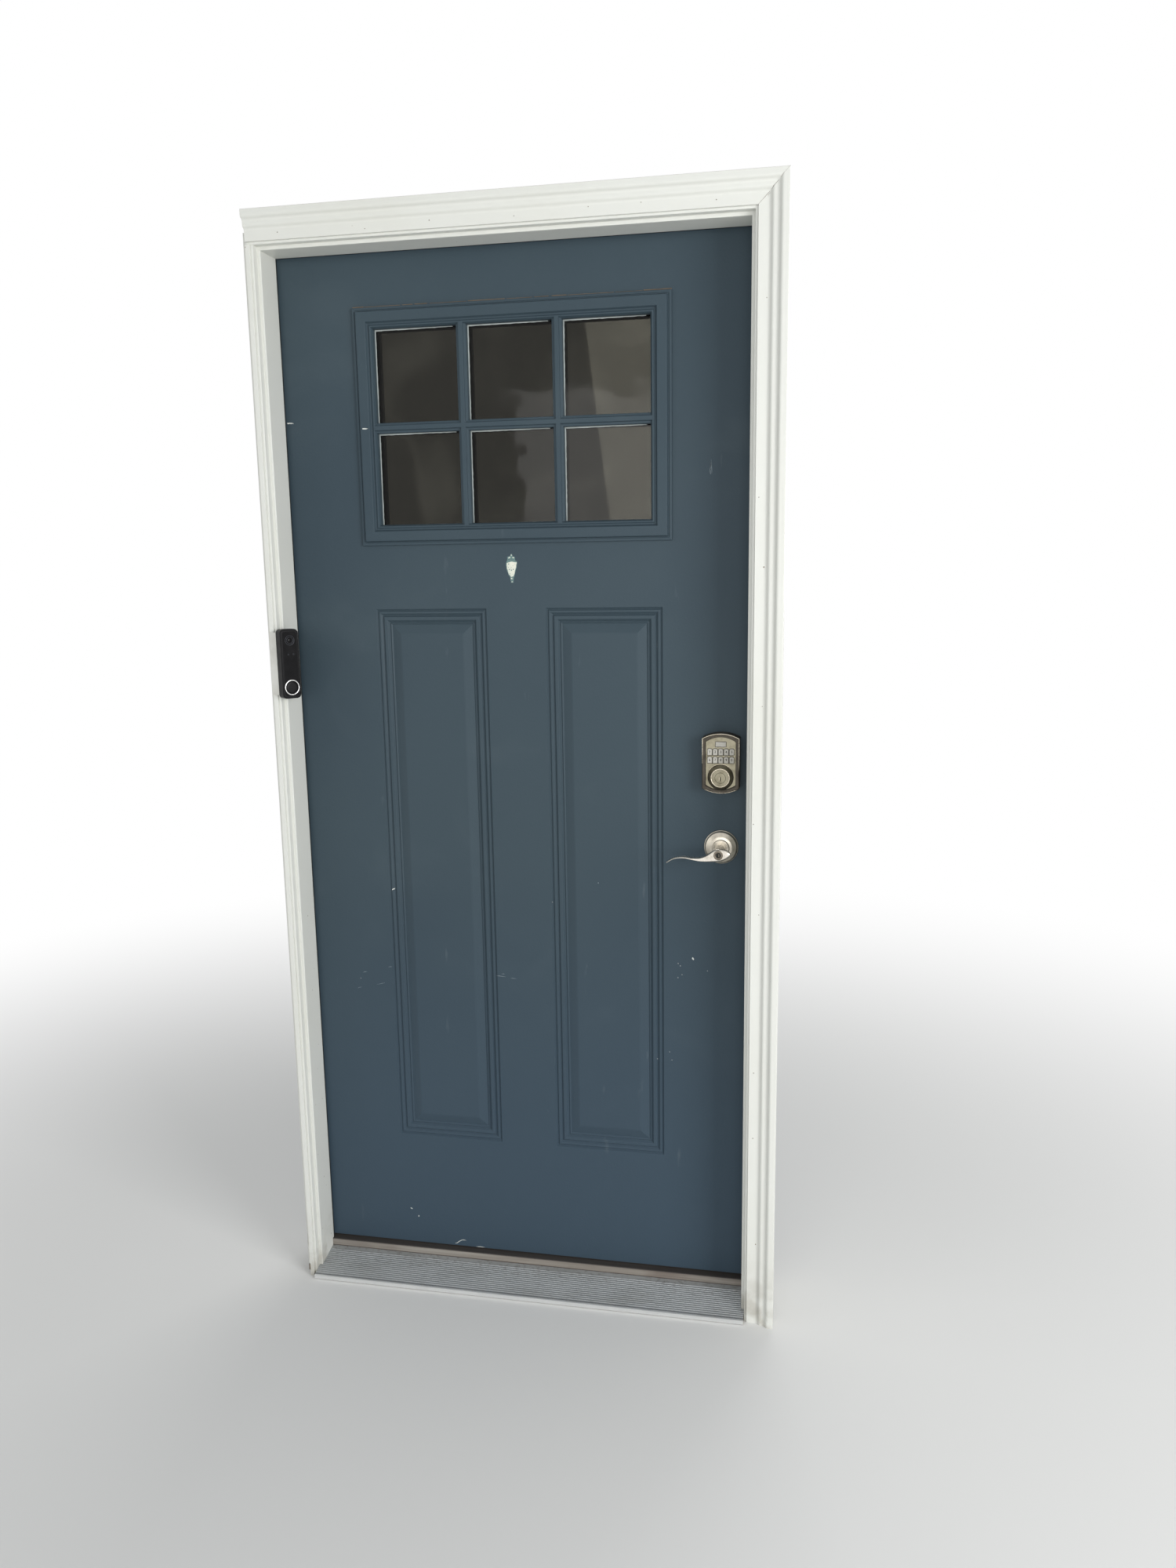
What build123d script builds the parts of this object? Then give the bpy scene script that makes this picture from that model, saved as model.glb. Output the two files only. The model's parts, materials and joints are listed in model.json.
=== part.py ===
from build123d import *
import math
import os

# A panelled entrance door hung in its frame, in millimetres.
# X runs from the hinge side (-) to the latch side (+), seen from outside.
# Y runs from outside (-) to inside (+), and Z is up.
# The origin is on the ground, at the middle of the opening's width,
# in the plane of the outer edges of the jambs.

os.makedirs("parts", exist_ok=True)

# Slab
SLAB_W = 908.05
SLAB_H = 2012.95
SLAB_T = 44.45
SKIN_T = 1.0
STILE_W = 32.0
RAIL_H = 40.0
LOCK_BLOCK_W = 115.0
LOCK_BLOCK_H = 330.0
CORE_GAP = 0.2

# Frame
SLAB_LIFT = 46.0
EDGE_GAP = 3.2
STOP_D = 12.7
JAMB_T = 31.75
SHOULDER_Y = 63.5
SEAL_D = 8.0
JAMB_ROUND = 1.6
SEAL_SETBACK = 1.4
SEAL_ROUND = 2.5

# Casing round the frame
CASING_W = 57.15
CASING_T = 31.75
CASING_REVEAL = 6.35
CASING_BEAD_T = 15.0
CASING_FLAT_T = 19.0
CASING_STEP_T = 25.0
CASING_BEAD_W = 5.0
CASING_FLAT_W = 20.5
CASING_RISE_W = 4.5
CASING_LIP_W = 12.5
CASING_ROUND = 1.2
CASING_SWEEP = 6.0
CASING_GROOVE = 0.6
CASING_END_X = -464.2

# Embossed panels
PANEL_W = 223.5
PANEL_H = 1103.8
PANEL_GAP = 117.0
PANEL_Z = 249.0
PANEL_BORDER = 50.0
FIELD_D = 1.2
FIELD_EDGE = 0.5

# Window
LITE_W = 601.0
LITE_H = 435.0
LITE_DROP = 103.45
LITE_PROUD = 10.0
LITE_BORDER = 38.5
CUTOUT_INSET = 18.0
GLASS_INSET = 27.5
GLASS_UNIT_T = 25.4
PANE_T = 3.2
SPACER_W = 7.0
MUNTIN_W = 19.0
MUNTIN_PROUD = 7.5
MUNTIN_SINK = 4.0
LITE_SCREW_PITCH = 180.0
LITE_SCREW_L = 42.0

# Sill
SILL_FRONT_Y = -30.0
SILL_FRONT_Z = 9.4
SILL_SLOPE = 0.21
RISER_Y = 56.0
RISER_D = 55.0
RISER_TOP = 43.0
RISER_NOSE = 2.5
DECK_T = 2.0
DECK_LIFT = 1.5
RIB_PITCH = 5.0
RIB_W = 2.2
RIB_H = 1.1
RIB_FIRST_Y = -26.0
RIB_LAST_Y = 44.0
SWEEP_T = 0.8
SWEEP_FIN_W = 1.2
SWEEP_FIN_PITCH = 6.0
SWEEP_FINS = 2

# Clearances, and how far a cut runs past the face that it opens
LOOSE = 0.3
RUN = 0.06
SLIDE = 0.15
PAST = 1.0

# Hinges
HINGE_H = 101.6
LEAF_D = 37.0
LEAF_T = 3.2
LEAF_ROUND = 8.0
LEAF_SCREWS = 4
LEAF_SCREW_PITCH = 22.0
LEAF_SCREW_NEAR = 11.0
LEAF_SCREW_FAR = 26.0
BARREL_R = 7.0
PIN_R = 4.0
PIN_HEAD_R = 5.6
PIN_HEAD_H = 3.0
KNUCKLES = 5
HINGE_TOP = 178.0
HINGE_BOTTOM = 279.0
SCREW_HEAD_R = 4.2
SCREW_R = 2.1
SCREW_L = 15.0
SCREW_HEAD_H = 2.3

# Locks
BACKSET = 60.3
LEVER_Z = 943.3
LOCK_SPACING = 139.7
CROSS_BORE_R = 27.0
EDGE_BORE_R = 12.7
FACEPLATE_W = 25.4
FACEPLATE_H = 57.2
FACEPLATE_T = 2.4
FACEPLATE_SCREW = 22.0
CASE_R = 12.4
LATCH_THROW = 12.7
LATCH_W = 11.0
LATCH_H = 15.6
LATCH_L = 30.0
LATCH_NOSE = 2.0
BOLT_W = 14.0
BOLT_H = 17.0
BOLT_L = 50.0
BOLT_ROUND = 2.5
STRIKE_T = 1.6
STRIKE_H = 70.0
STRIKE_W = 30.0
STRIKE_SCREW = 26.0
POCKET_SPARE = 3.0

# Lever set
ROSE_R = 32.5
ROSE_H = 12.0
ROSE_T = 2.0
ROSE_WALL = 2.0
ROSE_FOOT = 3.0
ROSE_SHOULDER = 11.0
ROSE_RIM = 1.0
ROSE_RISE = 3.0
COLLAR_H = 2.5
COLLAR_WALL = 2.5
NECK_R = 11.0
NECK_DEPTH = 15.0
COLLAR_R = 15.5
CHASSIS_R = 26.0
LEVER_REACH = 64.0
EYE_FLAT = 5.2
EYE_FLAT_L = 58.0
PLUG_R = 8.8
PLUG_PROUD = 0.8
PLUG_L = 24.0
TURN_BUTTON_R = 5.5
GRIP_W = 3.6
GRIP_H = 5.5
GRIP_INSET = 1.0
KEYWAY_W = 1.8
KEYWAY_H = 8.0
KEYWAY_DROP = 2.0

# Keypad lock
KEYPAD_W = 69.8
KEYPAD_LOW = 21.6
KEYPAD_HIGH = 73.9
KEYPAD_ARCH = 9.0
KEYPAD_D = 28.0
KEYPAD_RIM = 6.0
KEYPAD_SINK = 3.0
KEYPAD_FACE_T = 3.0
KEYPAD_LEDGE = 3.0
KEYPAD_BEVEL = 1.6
KEY_COLUMNS = 5
KEY_PITCH_X = 10.25
KEY_PITCH_Z = 15.2
KEY_ROW_Z = 32.9
KEY_W = 8.3
KEY_H = 12.0
KEY_ARCH = 2.0
KEY_T = 5.0
KEY_PROUD = 1.0
KEY_GAP = 0.2
KEY_ROUND = 0.5
LOCK_KEY_W = 19.4
LOCK_KEY_H = 9.0
LOCK_KEY_Z = 62.5
GUARD_R = 23.0
GUARD_TOP_R = 17.5
GUARD_H = 9.0
CYLINDER_PLUG_R = 9.6
COVER_D = 32.0
COVER_WALL = 2.5
COVER_ROUND = 2.0
THUMBTURN_R = 15.0
THUMBTURN_W = 7.0
THUMBTURN_H = 17.0
THUMBTURN_DISC = 4.0
BLADE_R = 3.2
BLADE_SHORT = 5.0
BATTERY_W = 26.5
BATTERY_T = 17.5
BATTERY_L = 48.5
BATTERY_RISE = 18.0
BATTERY_ROUND = 2.0

# Doorbell on its corner wedge
BELL_W = 37.0
BELL_H = 132.5
BELL_T = 20.0
BELL_Z = 1299.8
BELL_TURN = 50.0
BELL_CORNER_X = -449.4
BELL_CORNER_Y = -25.0
BELL_ROUND = 8.0
BELL_EDGE = 2.5
BELL_TRAVEL = 1.2
BELL_BUTTON_R = 15.0
BELL_BUTTON_DROP = 45.0
BELL_BUTTON_T = 4.0
BELL_BUTTON_PROUD = 0.8
BELL_LENS_R = 9.6
BELL_LENS_RISE = 45.0
BELL_LENS_T = 3.0
BELL_LENS_PROUD = 0.6
WEDGE_LEFT_X = -463.7
WEDGE_H = 120.0
WEDGE_PLATE = 3.5

# Places worked out from the sizes above
SLAB_X = SLAB_W / 2
RABBET_X = SLAB_X + EDGE_GAP
STOP_X = RABBET_X - STOP_D
JAMB_X = STOP_X + JAMB_T
SLAB_TOP = SLAB_LIFT + SLAB_H
RABBET_Z = SLAB_TOP + EDGE_GAP
STOP_Z = RABBET_Z - STOP_D
JAMB_TOP = STOP_Z + JAMB_T
FACE_Y = SHOULDER_Y + SEAL_D
BACK_Y = FACE_Y + SLAB_T
MID_Y = FACE_Y + SLAB_T / 2
CASING_X = STOP_X + CASING_REVEAL
CASING_Z = STOP_Z + CASING_REVEAL
BORE_X = SLAB_X - BACKSET
BOLT_Z = LEVER_Z + LOCK_SPACING
PIVOT_X = -(SLAB_X + RABBET_X) / 2
PIVOT_Y = BACK_Y + BARREL_R
LITE_CENTRE_Z = SLAB_TOP - LITE_DROP - LITE_H / 2
GLASS_RECESS = (SLAB_T - GLASS_UNIT_T) / 2
FRONT_SILL_X = CASING_X - LOOSE
DECK_FLAT_Z = SILL_FRONT_Z + SILL_SLOPE * (RISER_Y - SILL_FRONT_Y)
MIDDLE_PLANE = Plane.XZ.offset(-MID_Y)


def block(x0, x1, y0, y1, z0, z1, mode=Mode.ADD):
    """A box between two corners, in the part that is being built."""
    centre = ((x0 + x1) / 2, (y0 + y1) / 2, (z0 + z1) / 2)
    with Locations(centre):
        Box(x1 - x0, y1 - y0, z1 - z0, mode=mode)


def bar(plane, points, length, radii=0):
    """A straight bar: the given section, drawn on a plane and pulled along its normal."""
    with BuildPart() as piece:
        with BuildSketch(plane):
            with BuildLine():
                FilletPolyline(*points, radius=radii, close=True)
            make_face()
        extrude(amount=length)
    return piece.part


def flat(section):
    """The places of a section whose points are (across, off the face, rounding)."""
    return [(across, off) for across, off, rounding in section]


def roundings(section):
    """The rounding of each point of such a section."""
    return [rounding for across, off, rounding in section]


def rod(start, direction, radius, length):
    """A round bar from a point along a direction."""
    with BuildPart() as piece:
        with BuildSketch(Plane(origin=start, z_dir=direction)):
            Circle(radius)
        extrude(amount=length)
    return piece.part


def keep(part, name):
    """Labels a finished piece and writes it."""
    part.label = name
    export_step(part, f"parts/{name}.step")


def mitred_ring(centre_x, centre_z, width, height, section):
    """A section (inset from the outer edge, height off the face, rounding) run round a
    rectangle on the slab's outside face, with mitred corners."""
    left = centre_x - width / 2
    right = centre_x + width / 2
    low = centre_z - height / 2
    high = centre_z + height / 2
    with BuildPart() as upright:
        points = [(left + inset, FACE_Y - off) for inset, off in flat(section)]
        add(bar(Plane.XY.offset(low), points, height, roundings(section)))
        split(bisect_by=Plane(origin=(left, 0, low), z_dir=(-1, 0, 1)), keep=Keep.TOP)
        split(bisect_by=Plane(origin=(left, 0, high), z_dir=(-1, 0, -1)), keep=Keep.TOP)
    with BuildPart() as crosswise:
        points = [(FACE_Y - off, low + inset) for inset, off in flat(section)]
        add(bar(Plane.YZ.offset(left), points, width, roundings(section)))
        split(bisect_by=Plane(origin=(left, 0, low), z_dir=(1, 0, -1)), keep=Keep.TOP)
        split(bisect_by=Plane(origin=(right, 0, low), z_dir=(-1, 0, -1)), keep=Keep.TOP)
    with BuildPart() as ring:
        add(upright.part)
        mirror(upright.part, about=Plane.YZ.offset(centre_x))
        add(crosswise.part)
        mirror(crosswise.part, about=Plane.XY.offset(centre_z))
    return ring.part


# Screws
def screws(places, length, grow=0.0):
    """Countersunk screws; each place is the head's centre and the way that it is driven."""
    outline = [
        (0, 0),
        (SCREW_HEAD_R + grow, 0),
        (SCREW_R + grow, SCREW_HEAD_H),
        (SCREW_R + grow, length),
        (0, length),
    ]
    up = Vector(0, 0, 1)
    with BuildPart() as group:
        for centre, direction in places:
            with BuildSketch(Plane(origin=centre, x_dir=up, z_dir=up.cross(Vector(direction)))):
                with BuildLine():
                    Polyline(*outline, close=True)
                make_face()
            revolve(axis=Axis(centre, direction))
    return group.part


def leaf_screw_places(face_x, direction):
    """Four staggered screws in the leaf of every hinge."""
    places = []
    for z in hinge_heights:
        for row in range(LEAF_SCREWS):
            y = LEAF_BACK_Y - (LEAF_SCREW_NEAR if row % 2 else LEAF_SCREW_FAR)
            places.append(((face_x, y, z + LEAF_SCREW_PITCH * (row - (LEAF_SCREWS - 1) / 2)), direction))
    return places


def pair_screw_places(face_x, direction, offset):
    """One screw above and one below each bolt."""
    places = []
    for z in (LEVER_Z, BOLT_Z):
        places.append(((face_x, MID_Y, z - offset), direction))
        places.append(((face_x, MID_Y, z + offset), direction))
    return places


def lite_screw_places():
    """Screws round the inside window frame, driven towards the outside one."""
    y = BACK_Y + LITE_PROUD
    inset = (CUTOUT_INSET + GLASS_INSET) / 2
    half_w = LITE_W / 2 - inset
    half_h = LITE_H / 2 - inset
    places = []
    for side in (-1, 1):
        for column in (-1, 0, 1):
            places.append(((column * LITE_SCREW_PITCH, y, LITE_CENTRE_Z + side * half_h), (0, -1, 0)))
        for row in (-0.5, 0.5):
            places.append(((side * half_w, y, LITE_CENTRE_Z + row * LITE_SCREW_PITCH), (0, -1, 0)))
    return places


LEAF_BACK_Y = BACK_Y - LOOSE
LEAF_FRONT_Y = LEAF_BACK_Y - LEAF_D
lowest_hinge = SLAB_LIFT + HINGE_BOTTOM + HINGE_H / 2
highest_hinge = SLAB_TOP - HINGE_TOP - HINGE_H / 2
hinge_heights = [lowest_hinge, (lowest_hinge + highest_hinge) / 2, highest_hinge]

frame_places = leaf_screw_places(-RABBET_X, (-1, 0, 0))
frame_places += pair_screw_places(RABBET_X, (1, 0, 0), STRIKE_SCREW)
edge_places = leaf_screw_places(-SLAB_X, (1, 0, 0))
edge_places += pair_screw_places(SLAB_X, (-1, 0, 0), FACEPLATE_SCREW)
frame_screw_holes = screws(frame_places, SCREW_L, RUN)
edge_screw_holes = screws(edge_places, SCREW_L, RUN)
lite_screw_holes = screws(lite_screw_places(), LITE_SCREW_L, RUN)

keep(screws(frame_places, SCREW_L), "frame_screws")
with BuildPart() as door_screws:
    add(screws(edge_places, SCREW_L))
    add(screws(lite_screw_places(), LITE_SCREW_L))
keep(door_screws.part, "door_screws")


# Hinges
def leaf_plate(centre_z, face_x, into, reach=0.0):
    """The plate of a leaf, let into the wood from its face; into is the side that it goes to."""
    x0, x1 = sorted((face_x, face_x + into * LEAF_T))
    with BuildPart() as plate:
        block(x0, x1, LEAF_FRONT_Y, LEAF_BACK_Y + reach, centre_z - HINGE_H / 2, centre_z + HINGE_H / 2)
        fillet(plate.edges().filter_by(Axis.X).group_by(Axis.Y)[0], LEAF_ROUND)
    return plate.part


def hinge_leaves(face_x, into, first, holes):
    """The leaves of all hinges on one side; first is the lowest knuckle that they own."""
    knuckle = HINGE_H / KNUCKLES
    x0, x1 = sorted((face_x, face_x + into * LEAF_T))
    with BuildPart() as leaves:
        for centre_z in hinge_heights:
            add(leaf_plate(centre_z, face_x, into))
            for number in range(first, KNUCKLES, 2):
                low = centre_z - HINGE_H / 2 + number * knuckle + LOOSE / 2
                high = low + knuckle - LOOSE
                block(x0, x1, LEAF_BACK_Y - PAST, PIVOT_Y, low, high)
                with Locations((PIVOT_X, PIVOT_Y, (low + high) / 2)):
                    Cylinder(BARREL_R, high - low)
            with Locations((PIVOT_X, PIVOT_Y, centre_z)):
                Cylinder(PIN_R + RUN, HINGE_H + LOOSE, mode=Mode.SUBTRACT)
        add(holes, mode=Mode.SUBTRACT)
    return leaves.part


keep(hinge_leaves(-RABBET_X, -1, 0, frame_screw_holes), "hinge_frame_leaves")
keep(hinge_leaves(-SLAB_X, 1, 1, edge_screw_holes), "hinge_door_leaves")

with BuildPart() as frame_leaf_pockets:
    for height in hinge_heights:
        add(leaf_plate(height, -RABBET_X, -1, reach=PAST))
with BuildPart() as door_leaf_pockets:
    for height in hinge_heights:
        add(leaf_plate(height, -SLAB_X, 1, reach=PAST))

with BuildPart() as hinge_pins:
    for height in hinge_heights:
        with Locations((PIVOT_X, PIVOT_Y, height)):
            Cylinder(PIN_R, HINGE_H)
        with Locations((PIVOT_X, PIVOT_Y, height + HINGE_H / 2 + PIN_HEAD_H / 2)):
            Cylinder(PIN_HEAD_R, PIN_HEAD_H)
keep(hinge_pins.part, "hinge_pins")

# Sill
deck_top = [
    (SILL_FRONT_Y, SILL_FRONT_Z),
    (RISER_Y, DECK_FLAT_Z),
    (BACK_Y, DECK_FLAT_Z),
]


def front_corners():
    """Cuts the sill's front part back to the space between the casings."""
    for side in (-1, 1):
        x0, x1 = sorted((side * FRONT_SILL_X, side * (JAMB_X + PAST)))
        block(x0, x1, SILL_FRONT_Y - PAST, 0, -PAST, JAMB_TOP, mode=Mode.SUBTRACT)


with BuildPart() as sill_deck:
    deck_outline = [(SILL_FRONT_Y, DECK_LIFT)] + deck_top
    deck_outline += [(BACK_Y, DECK_FLAT_Z - DECK_T), (RISER_Y, DECK_FLAT_Z - DECK_T)]
    deck_outline += [(SILL_FRONT_Y + DECK_T, SILL_FRONT_Z - DECK_T), (SILL_FRONT_Y + DECK_T, DECK_LIFT)]
    add(bar(Plane.YZ.offset(-JAMB_X), deck_outline, 2 * JAMB_X))
    front_corners()
    rib_count = int((RIB_LAST_Y - RIB_FIRST_Y) / RIB_PITCH) + 1
    for number in range(rib_count):
        y = RIB_FIRST_Y + number * RIB_PITCH
        z = SILL_FRONT_Z + SILL_SLOPE * (y - SILL_FRONT_Y)
        half = FRONT_SILL_X if y + RIB_W / 2 < 0 else STOP_X - LOOSE
        rise = SILL_SLOPE * RIB_W / 2
        sink = DECK_T / 4
        rib = [(y - RIB_W / 2, z - rise - sink), (y - RIB_W / 4, z + RIB_H), (y + RIB_W / 4, z + RIB_H)]
        rib += [(y + RIB_W / 2, z + rise - sink)]
        add(bar(Plane.YZ.offset(-half), rib, 2 * half))
keep(sill_deck.part, "sill_deck")

with BuildPart() as sill_base:
    base_outline = [(SILL_FRONT_Y + DECK_T, 0), (SILL_FRONT_Y + DECK_T, SILL_FRONT_Z - DECK_T)]
    base_outline += [(RISER_Y, DECK_FLAT_Z - DECK_T), (BACK_Y, DECK_FLAT_Z - DECK_T), (BACK_Y, 0)]
    add(bar(Plane.YZ.offset(-JAMB_X), base_outline, 2 * JAMB_X))
    front_corners()
keep(sill_base.part, "sill_base")

with BuildPart() as sill_riser:
    block(-STOP_X + LOOSE, STOP_X - LOOSE, RISER_Y, RISER_Y + RISER_D, DECK_FLAT_Z, RISER_TOP)
    block(-RABBET_X + LOOSE, RABBET_X - LOOSE, SHOULDER_Y + LOOSE, RISER_Y + RISER_D, DECK_FLAT_Z,
          RISER_TOP)
    nose = sill_riser.edges().filter_by(Axis.X).group_by(Axis.Y)[0].sort_by(Axis.Z)[-1]
    fillet(nose, RISER_NOSE)
keep(sill_riser.part, "sill_riser")

with BuildPart() as sill_form:
    foot_outline = [(SILL_FRONT_Y, -PAST), deck_top[0], deck_top[1]]
    foot_outline += [(BACK_Y + PAST, DECK_FLAT_Z), (BACK_Y + PAST, -PAST)]
    add(bar(Plane.YZ.offset(-JAMB_X - PAST), foot_outline, 2 * (JAMB_X + PAST)))


# Jambs
def jamb_section(inner, rabbet, outer):
    """Section of a jamb: across the frame, then through the wall."""
    return [
        (inner, 0),
        (outer, 0),
        (outer, BACK_Y),
        (rabbet, BACK_Y),
        (rabbet, SHOULDER_Y),
        (inner, SHOULDER_Y),
    ]


JAMB_RADII = [JAMB_ROUND, 0, 0, JAMB_ROUND, 0, JAMB_ROUND]


def mitre(side, part_side):
    """The plane of a frame corner's mitre, facing the leg (1) or the head (-1)."""
    return Plane(origin=(side * STOP_X, 0, STOP_Z), z_dir=(part_side * side, 0, -part_side))


def jamb_leg(side):
    section = [(side * x, y) for x, y in jamb_section(STOP_X, RABBET_X, JAMB_X)]
    with BuildPart() as leg:
        add(bar(Plane.XY, section, JAMB_TOP, JAMB_RADII))
        split(bisect_by=mitre(side, 1), keep=Keep.TOP)
        add(sill_form.part, mode=Mode.SUBTRACT)
    return leg.part


with BuildPart() as jamb_hinge_side:
    add(jamb_leg(-1))
    add(frame_leaf_pockets.part, mode=Mode.SUBTRACT)
    add(frame_screw_holes, mode=Mode.SUBTRACT)
keep(jamb_hinge_side.part, "jamb_hinge_side")


LATCH_POCKET = ("latch_strike", LEVER_Z, LATCH_W, LATCH_H, LATCH_THROW - EDGE_GAP + POCKET_SPARE)
BOLT_POCKET = ("deadbolt_strike", BOLT_Z, BOLT_W, BOLT_H, JAMB_X - RABBET_X + PAST)


def cut_pocket(z, bolt_w, bolt_h, depth):
    """Cuts the room for a bolt that has been thrown."""
    half_w = bolt_w / 2 + POCKET_SPARE
    half_h = bolt_h / 2 + POCKET_SPARE
    block(RABBET_X - PAST, RABBET_X + depth, MID_Y - half_w, MID_Y + half_w, z - half_h, z + half_h,
          mode=Mode.SUBTRACT)


def strike_plate(z, back_y, mode):
    """A strike plate let into the jamb's inner face."""
    low = z - STRIKE_H / 2
    block(RABBET_X, RABBET_X + STRIKE_T, MID_Y - STRIKE_W / 2, back_y, low, low + STRIKE_H, mode=mode)


with BuildPart() as jamb_latch_side:
    add(jamb_leg(1))
    for name, z, bolt_w, bolt_h, depth in (LATCH_POCKET, BOLT_POCKET):
        strike_plate(z, BACK_Y + PAST, Mode.SUBTRACT)
        cut_pocket(z, bolt_w, bolt_h, depth)
    add(frame_screw_holes, mode=Mode.SUBTRACT)
keep(jamb_latch_side.part, "jamb_latch_side")

for name, z, bolt_w, bolt_h, depth in (LATCH_POCKET, BOLT_POCKET):
    with BuildPart() as strike:
        strike_plate(z, BACK_Y, Mode.ADD)
        cut_pocket(z, bolt_w, bolt_h, depth)
        add(frame_screw_holes, mode=Mode.SUBTRACT)
    keep(strike.part, name)

with BuildPart() as jamb_head:
    head_section = [(y, z) for z, y in jamb_section(STOP_Z, RABBET_Z, JAMB_TOP)]
    add(bar(Plane.YZ.offset(-JAMB_X), head_section, 2 * JAMB_X, JAMB_RADII))
    split(bisect_by=mitre(-1, -1), keep=Keep.TOP)
    split(bisect_by=mitre(1, -1), keep=Keep.TOP)
keep(jamb_head.part, "jamb_head")

# Casing
lip_start = CASING_W - CASING_LIP_W
step_start = CASING_BEAD_W + CASING_FLAT_W
CASING_SECTION = [
    (0, 0, 0),
    (0, CASING_BEAD_T, 1.8),
    (CASING_BEAD_W - CASING_GROOVE, CASING_BEAD_T, 0),
    (CASING_BEAD_W - CASING_GROOVE / 2, CASING_BEAD_T - CASING_GROOVE, 0),
    (CASING_BEAD_W, CASING_FLAT_T, 0.6),
    (step_start, CASING_FLAT_T, CASING_SWEEP),
    (step_start + CASING_RISE_W, CASING_STEP_T, CASING_SWEEP),
    (lip_start - CASING_RISE_W, CASING_STEP_T, CASING_SWEEP),
    (lip_start, CASING_T, CASING_SWEEP),
    (CASING_W, CASING_T, CASING_ROUND),
    (CASING_W, 0, 0),
]


def casing_mitre(facing):
    """The plane of the casing's mitre at the latch side, facing the leg (1) or the head (-1)."""
    return Plane(origin=(CASING_X, 0, CASING_Z), z_dir=(facing, 0, -facing))


with BuildPart() as casing_right:
    points = [(CASING_X + across, -off) for across, off in flat(CASING_SECTION)]
    add(bar(Plane.XY, points, CASING_Z + CASING_W, roundings(CASING_SECTION)))
    split(bisect_by=casing_mitre(1), keep=Keep.TOP)
keep(casing_right.part, "casing_right")

with BuildPart() as casing_head:
    head_length = CASING_X + CASING_W - CASING_END_X
    points = [(-off, CASING_Z + across) for across, off in flat(CASING_SECTION)]
    add(bar(Plane.YZ.offset(CASING_END_X), points, head_length, roundings(CASING_SECTION)))
    split(bisect_by=casing_mitre(-1), keep=Keep.TOP)
keep(casing_head.part, "casing_head")

with BuildPart() as casing_left:
    points = [(-CASING_X - across, -off) for across, off in flat(CASING_SECTION)]
    add(bar(Plane.XY, points, CASING_Z, roundings(CASING_SECTION)))
    split(bisect_by=Plane(origin=(CASING_END_X, 0, 0), z_dir=(1, 0, 0)), keep=Keep.TOP)
keep(casing_left.part, "casing_left")

# Weatherstrip in the corner between stop and slab
with BuildPart() as weatherstrip:
    seal_face = FACE_Y - LOOSE
    seal_in = STOP_X + SEAL_SETBACK
    seal_out = RABBET_X - SEAL_SETBACK / 2
    seal_low = RISER_TOP + LOOSE
    seal_high = RABBET_Z - SEAL_SETBACK / 2
    for side in (-1, 1):
        x0, x1 = sorted((side * seal_in, side * seal_out))
        block(x0, x1, SHOULDER_Y, seal_face, seal_low, seal_high)
    block(-seal_in + LOOSE, seal_in - LOOSE, SHOULDER_Y, seal_face, STOP_Z + SEAL_SETBACK, seal_high)
    front_edges = weatherstrip.edges().group_by(Axis.Y)[-1].filter_by(Axis.Z)
    fillet(front_edges, SEAL_ROUND)
keep(weatherstrip.part, "weatherstrip")

# Slab
EMBOSS = [
    (0, 0, 0),
    (3.0, 3.8, 1.0),
    (5.5, 1.2, 1.0),
    (8.5, 1.2, 1.0),
    (12.8, 5.4, 1.2),
    (15.5, 1.8, 1.2),
    (21.5, 1.8, 1.5),
    (25.8, 6.8, 1.0),
    (28.0, 4.8, 0.8),
    (30.5, 7.0, 0.8),
    (PANEL_BORDER - 3, FIELD_D + FIELD_EDGE, 6.0),
    (PANEL_BORDER, FIELD_D, 0),
]

panel_centre_x = (PANEL_GAP + PANEL_W) / 2
panel_centre_z = SLAB_LIFT + PANEL_Z + PANEL_H / 2
emboss_section = [(0, PAST, 0)]
emboss_section += [(inset, -depth, rounding) for inset, depth, rounding in EMBOSS]
emboss_section += [(PANEL_BORDER, PAST, 0)]

with BuildPart() as slab_form:
    block(-SLAB_X, SLAB_X, FACE_Y, MID_Y, SLAB_LIFT, SLAB_TOP)
    field_w = PANEL_W / 2 - PANEL_BORDER
    field_h = PANEL_H / 2 - PANEL_BORDER
    for side in (-1, 1):
        x = side * panel_centre_x
        add(mitred_ring(x, panel_centre_z, PANEL_W, PANEL_H, emboss_section), mode=Mode.SUBTRACT)
        block(x - field_w, x + field_w, FACE_Y - PAST, FACE_Y + FIELD_D, panel_centre_z - field_h,
              panel_centre_z + field_h, mode=Mode.SUBTRACT)


def cut_window(inset):
    """Cuts the window's hole; inset is measured from the window frame's outer edge."""
    half_w = LITE_W / 2 - inset
    half_h = LITE_H / 2 - inset
    block(-half_w, half_w, FACE_Y - PAST, BACK_Y + PAST, LITE_CENTRE_Z - half_h, LITE_CENTRE_Z + half_h,
          mode=Mode.SUBTRACT)


def cut_cross_bores():
    """Cuts the two large lock holes through the slab."""
    for z in (LEVER_Z, BOLT_Z):
        start = (BORE_X, FACE_Y - PAST, z)
        add(rod(start, (0, 1, 0), CROSS_BORE_R, SLAB_T + 2 * PAST), mode=Mode.SUBTRACT)


with BuildPart() as skin_outside:
    add(slab_form.part)
    add(slab_form.part.moved(Location((0, SKIN_T, 0))), mode=Mode.SUBTRACT)
    cut_window(CUTOUT_INSET)
    cut_cross_bores()
keep(skin_outside.part, "skin_outside")

with BuildPart() as skin_inside:
    mirror(skin_outside.part, about=MIDDLE_PLANE)
    add(door_leaf_pockets.part, mode=Mode.SUBTRACT)
keep(skin_inside.part, "skin_inside")

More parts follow.
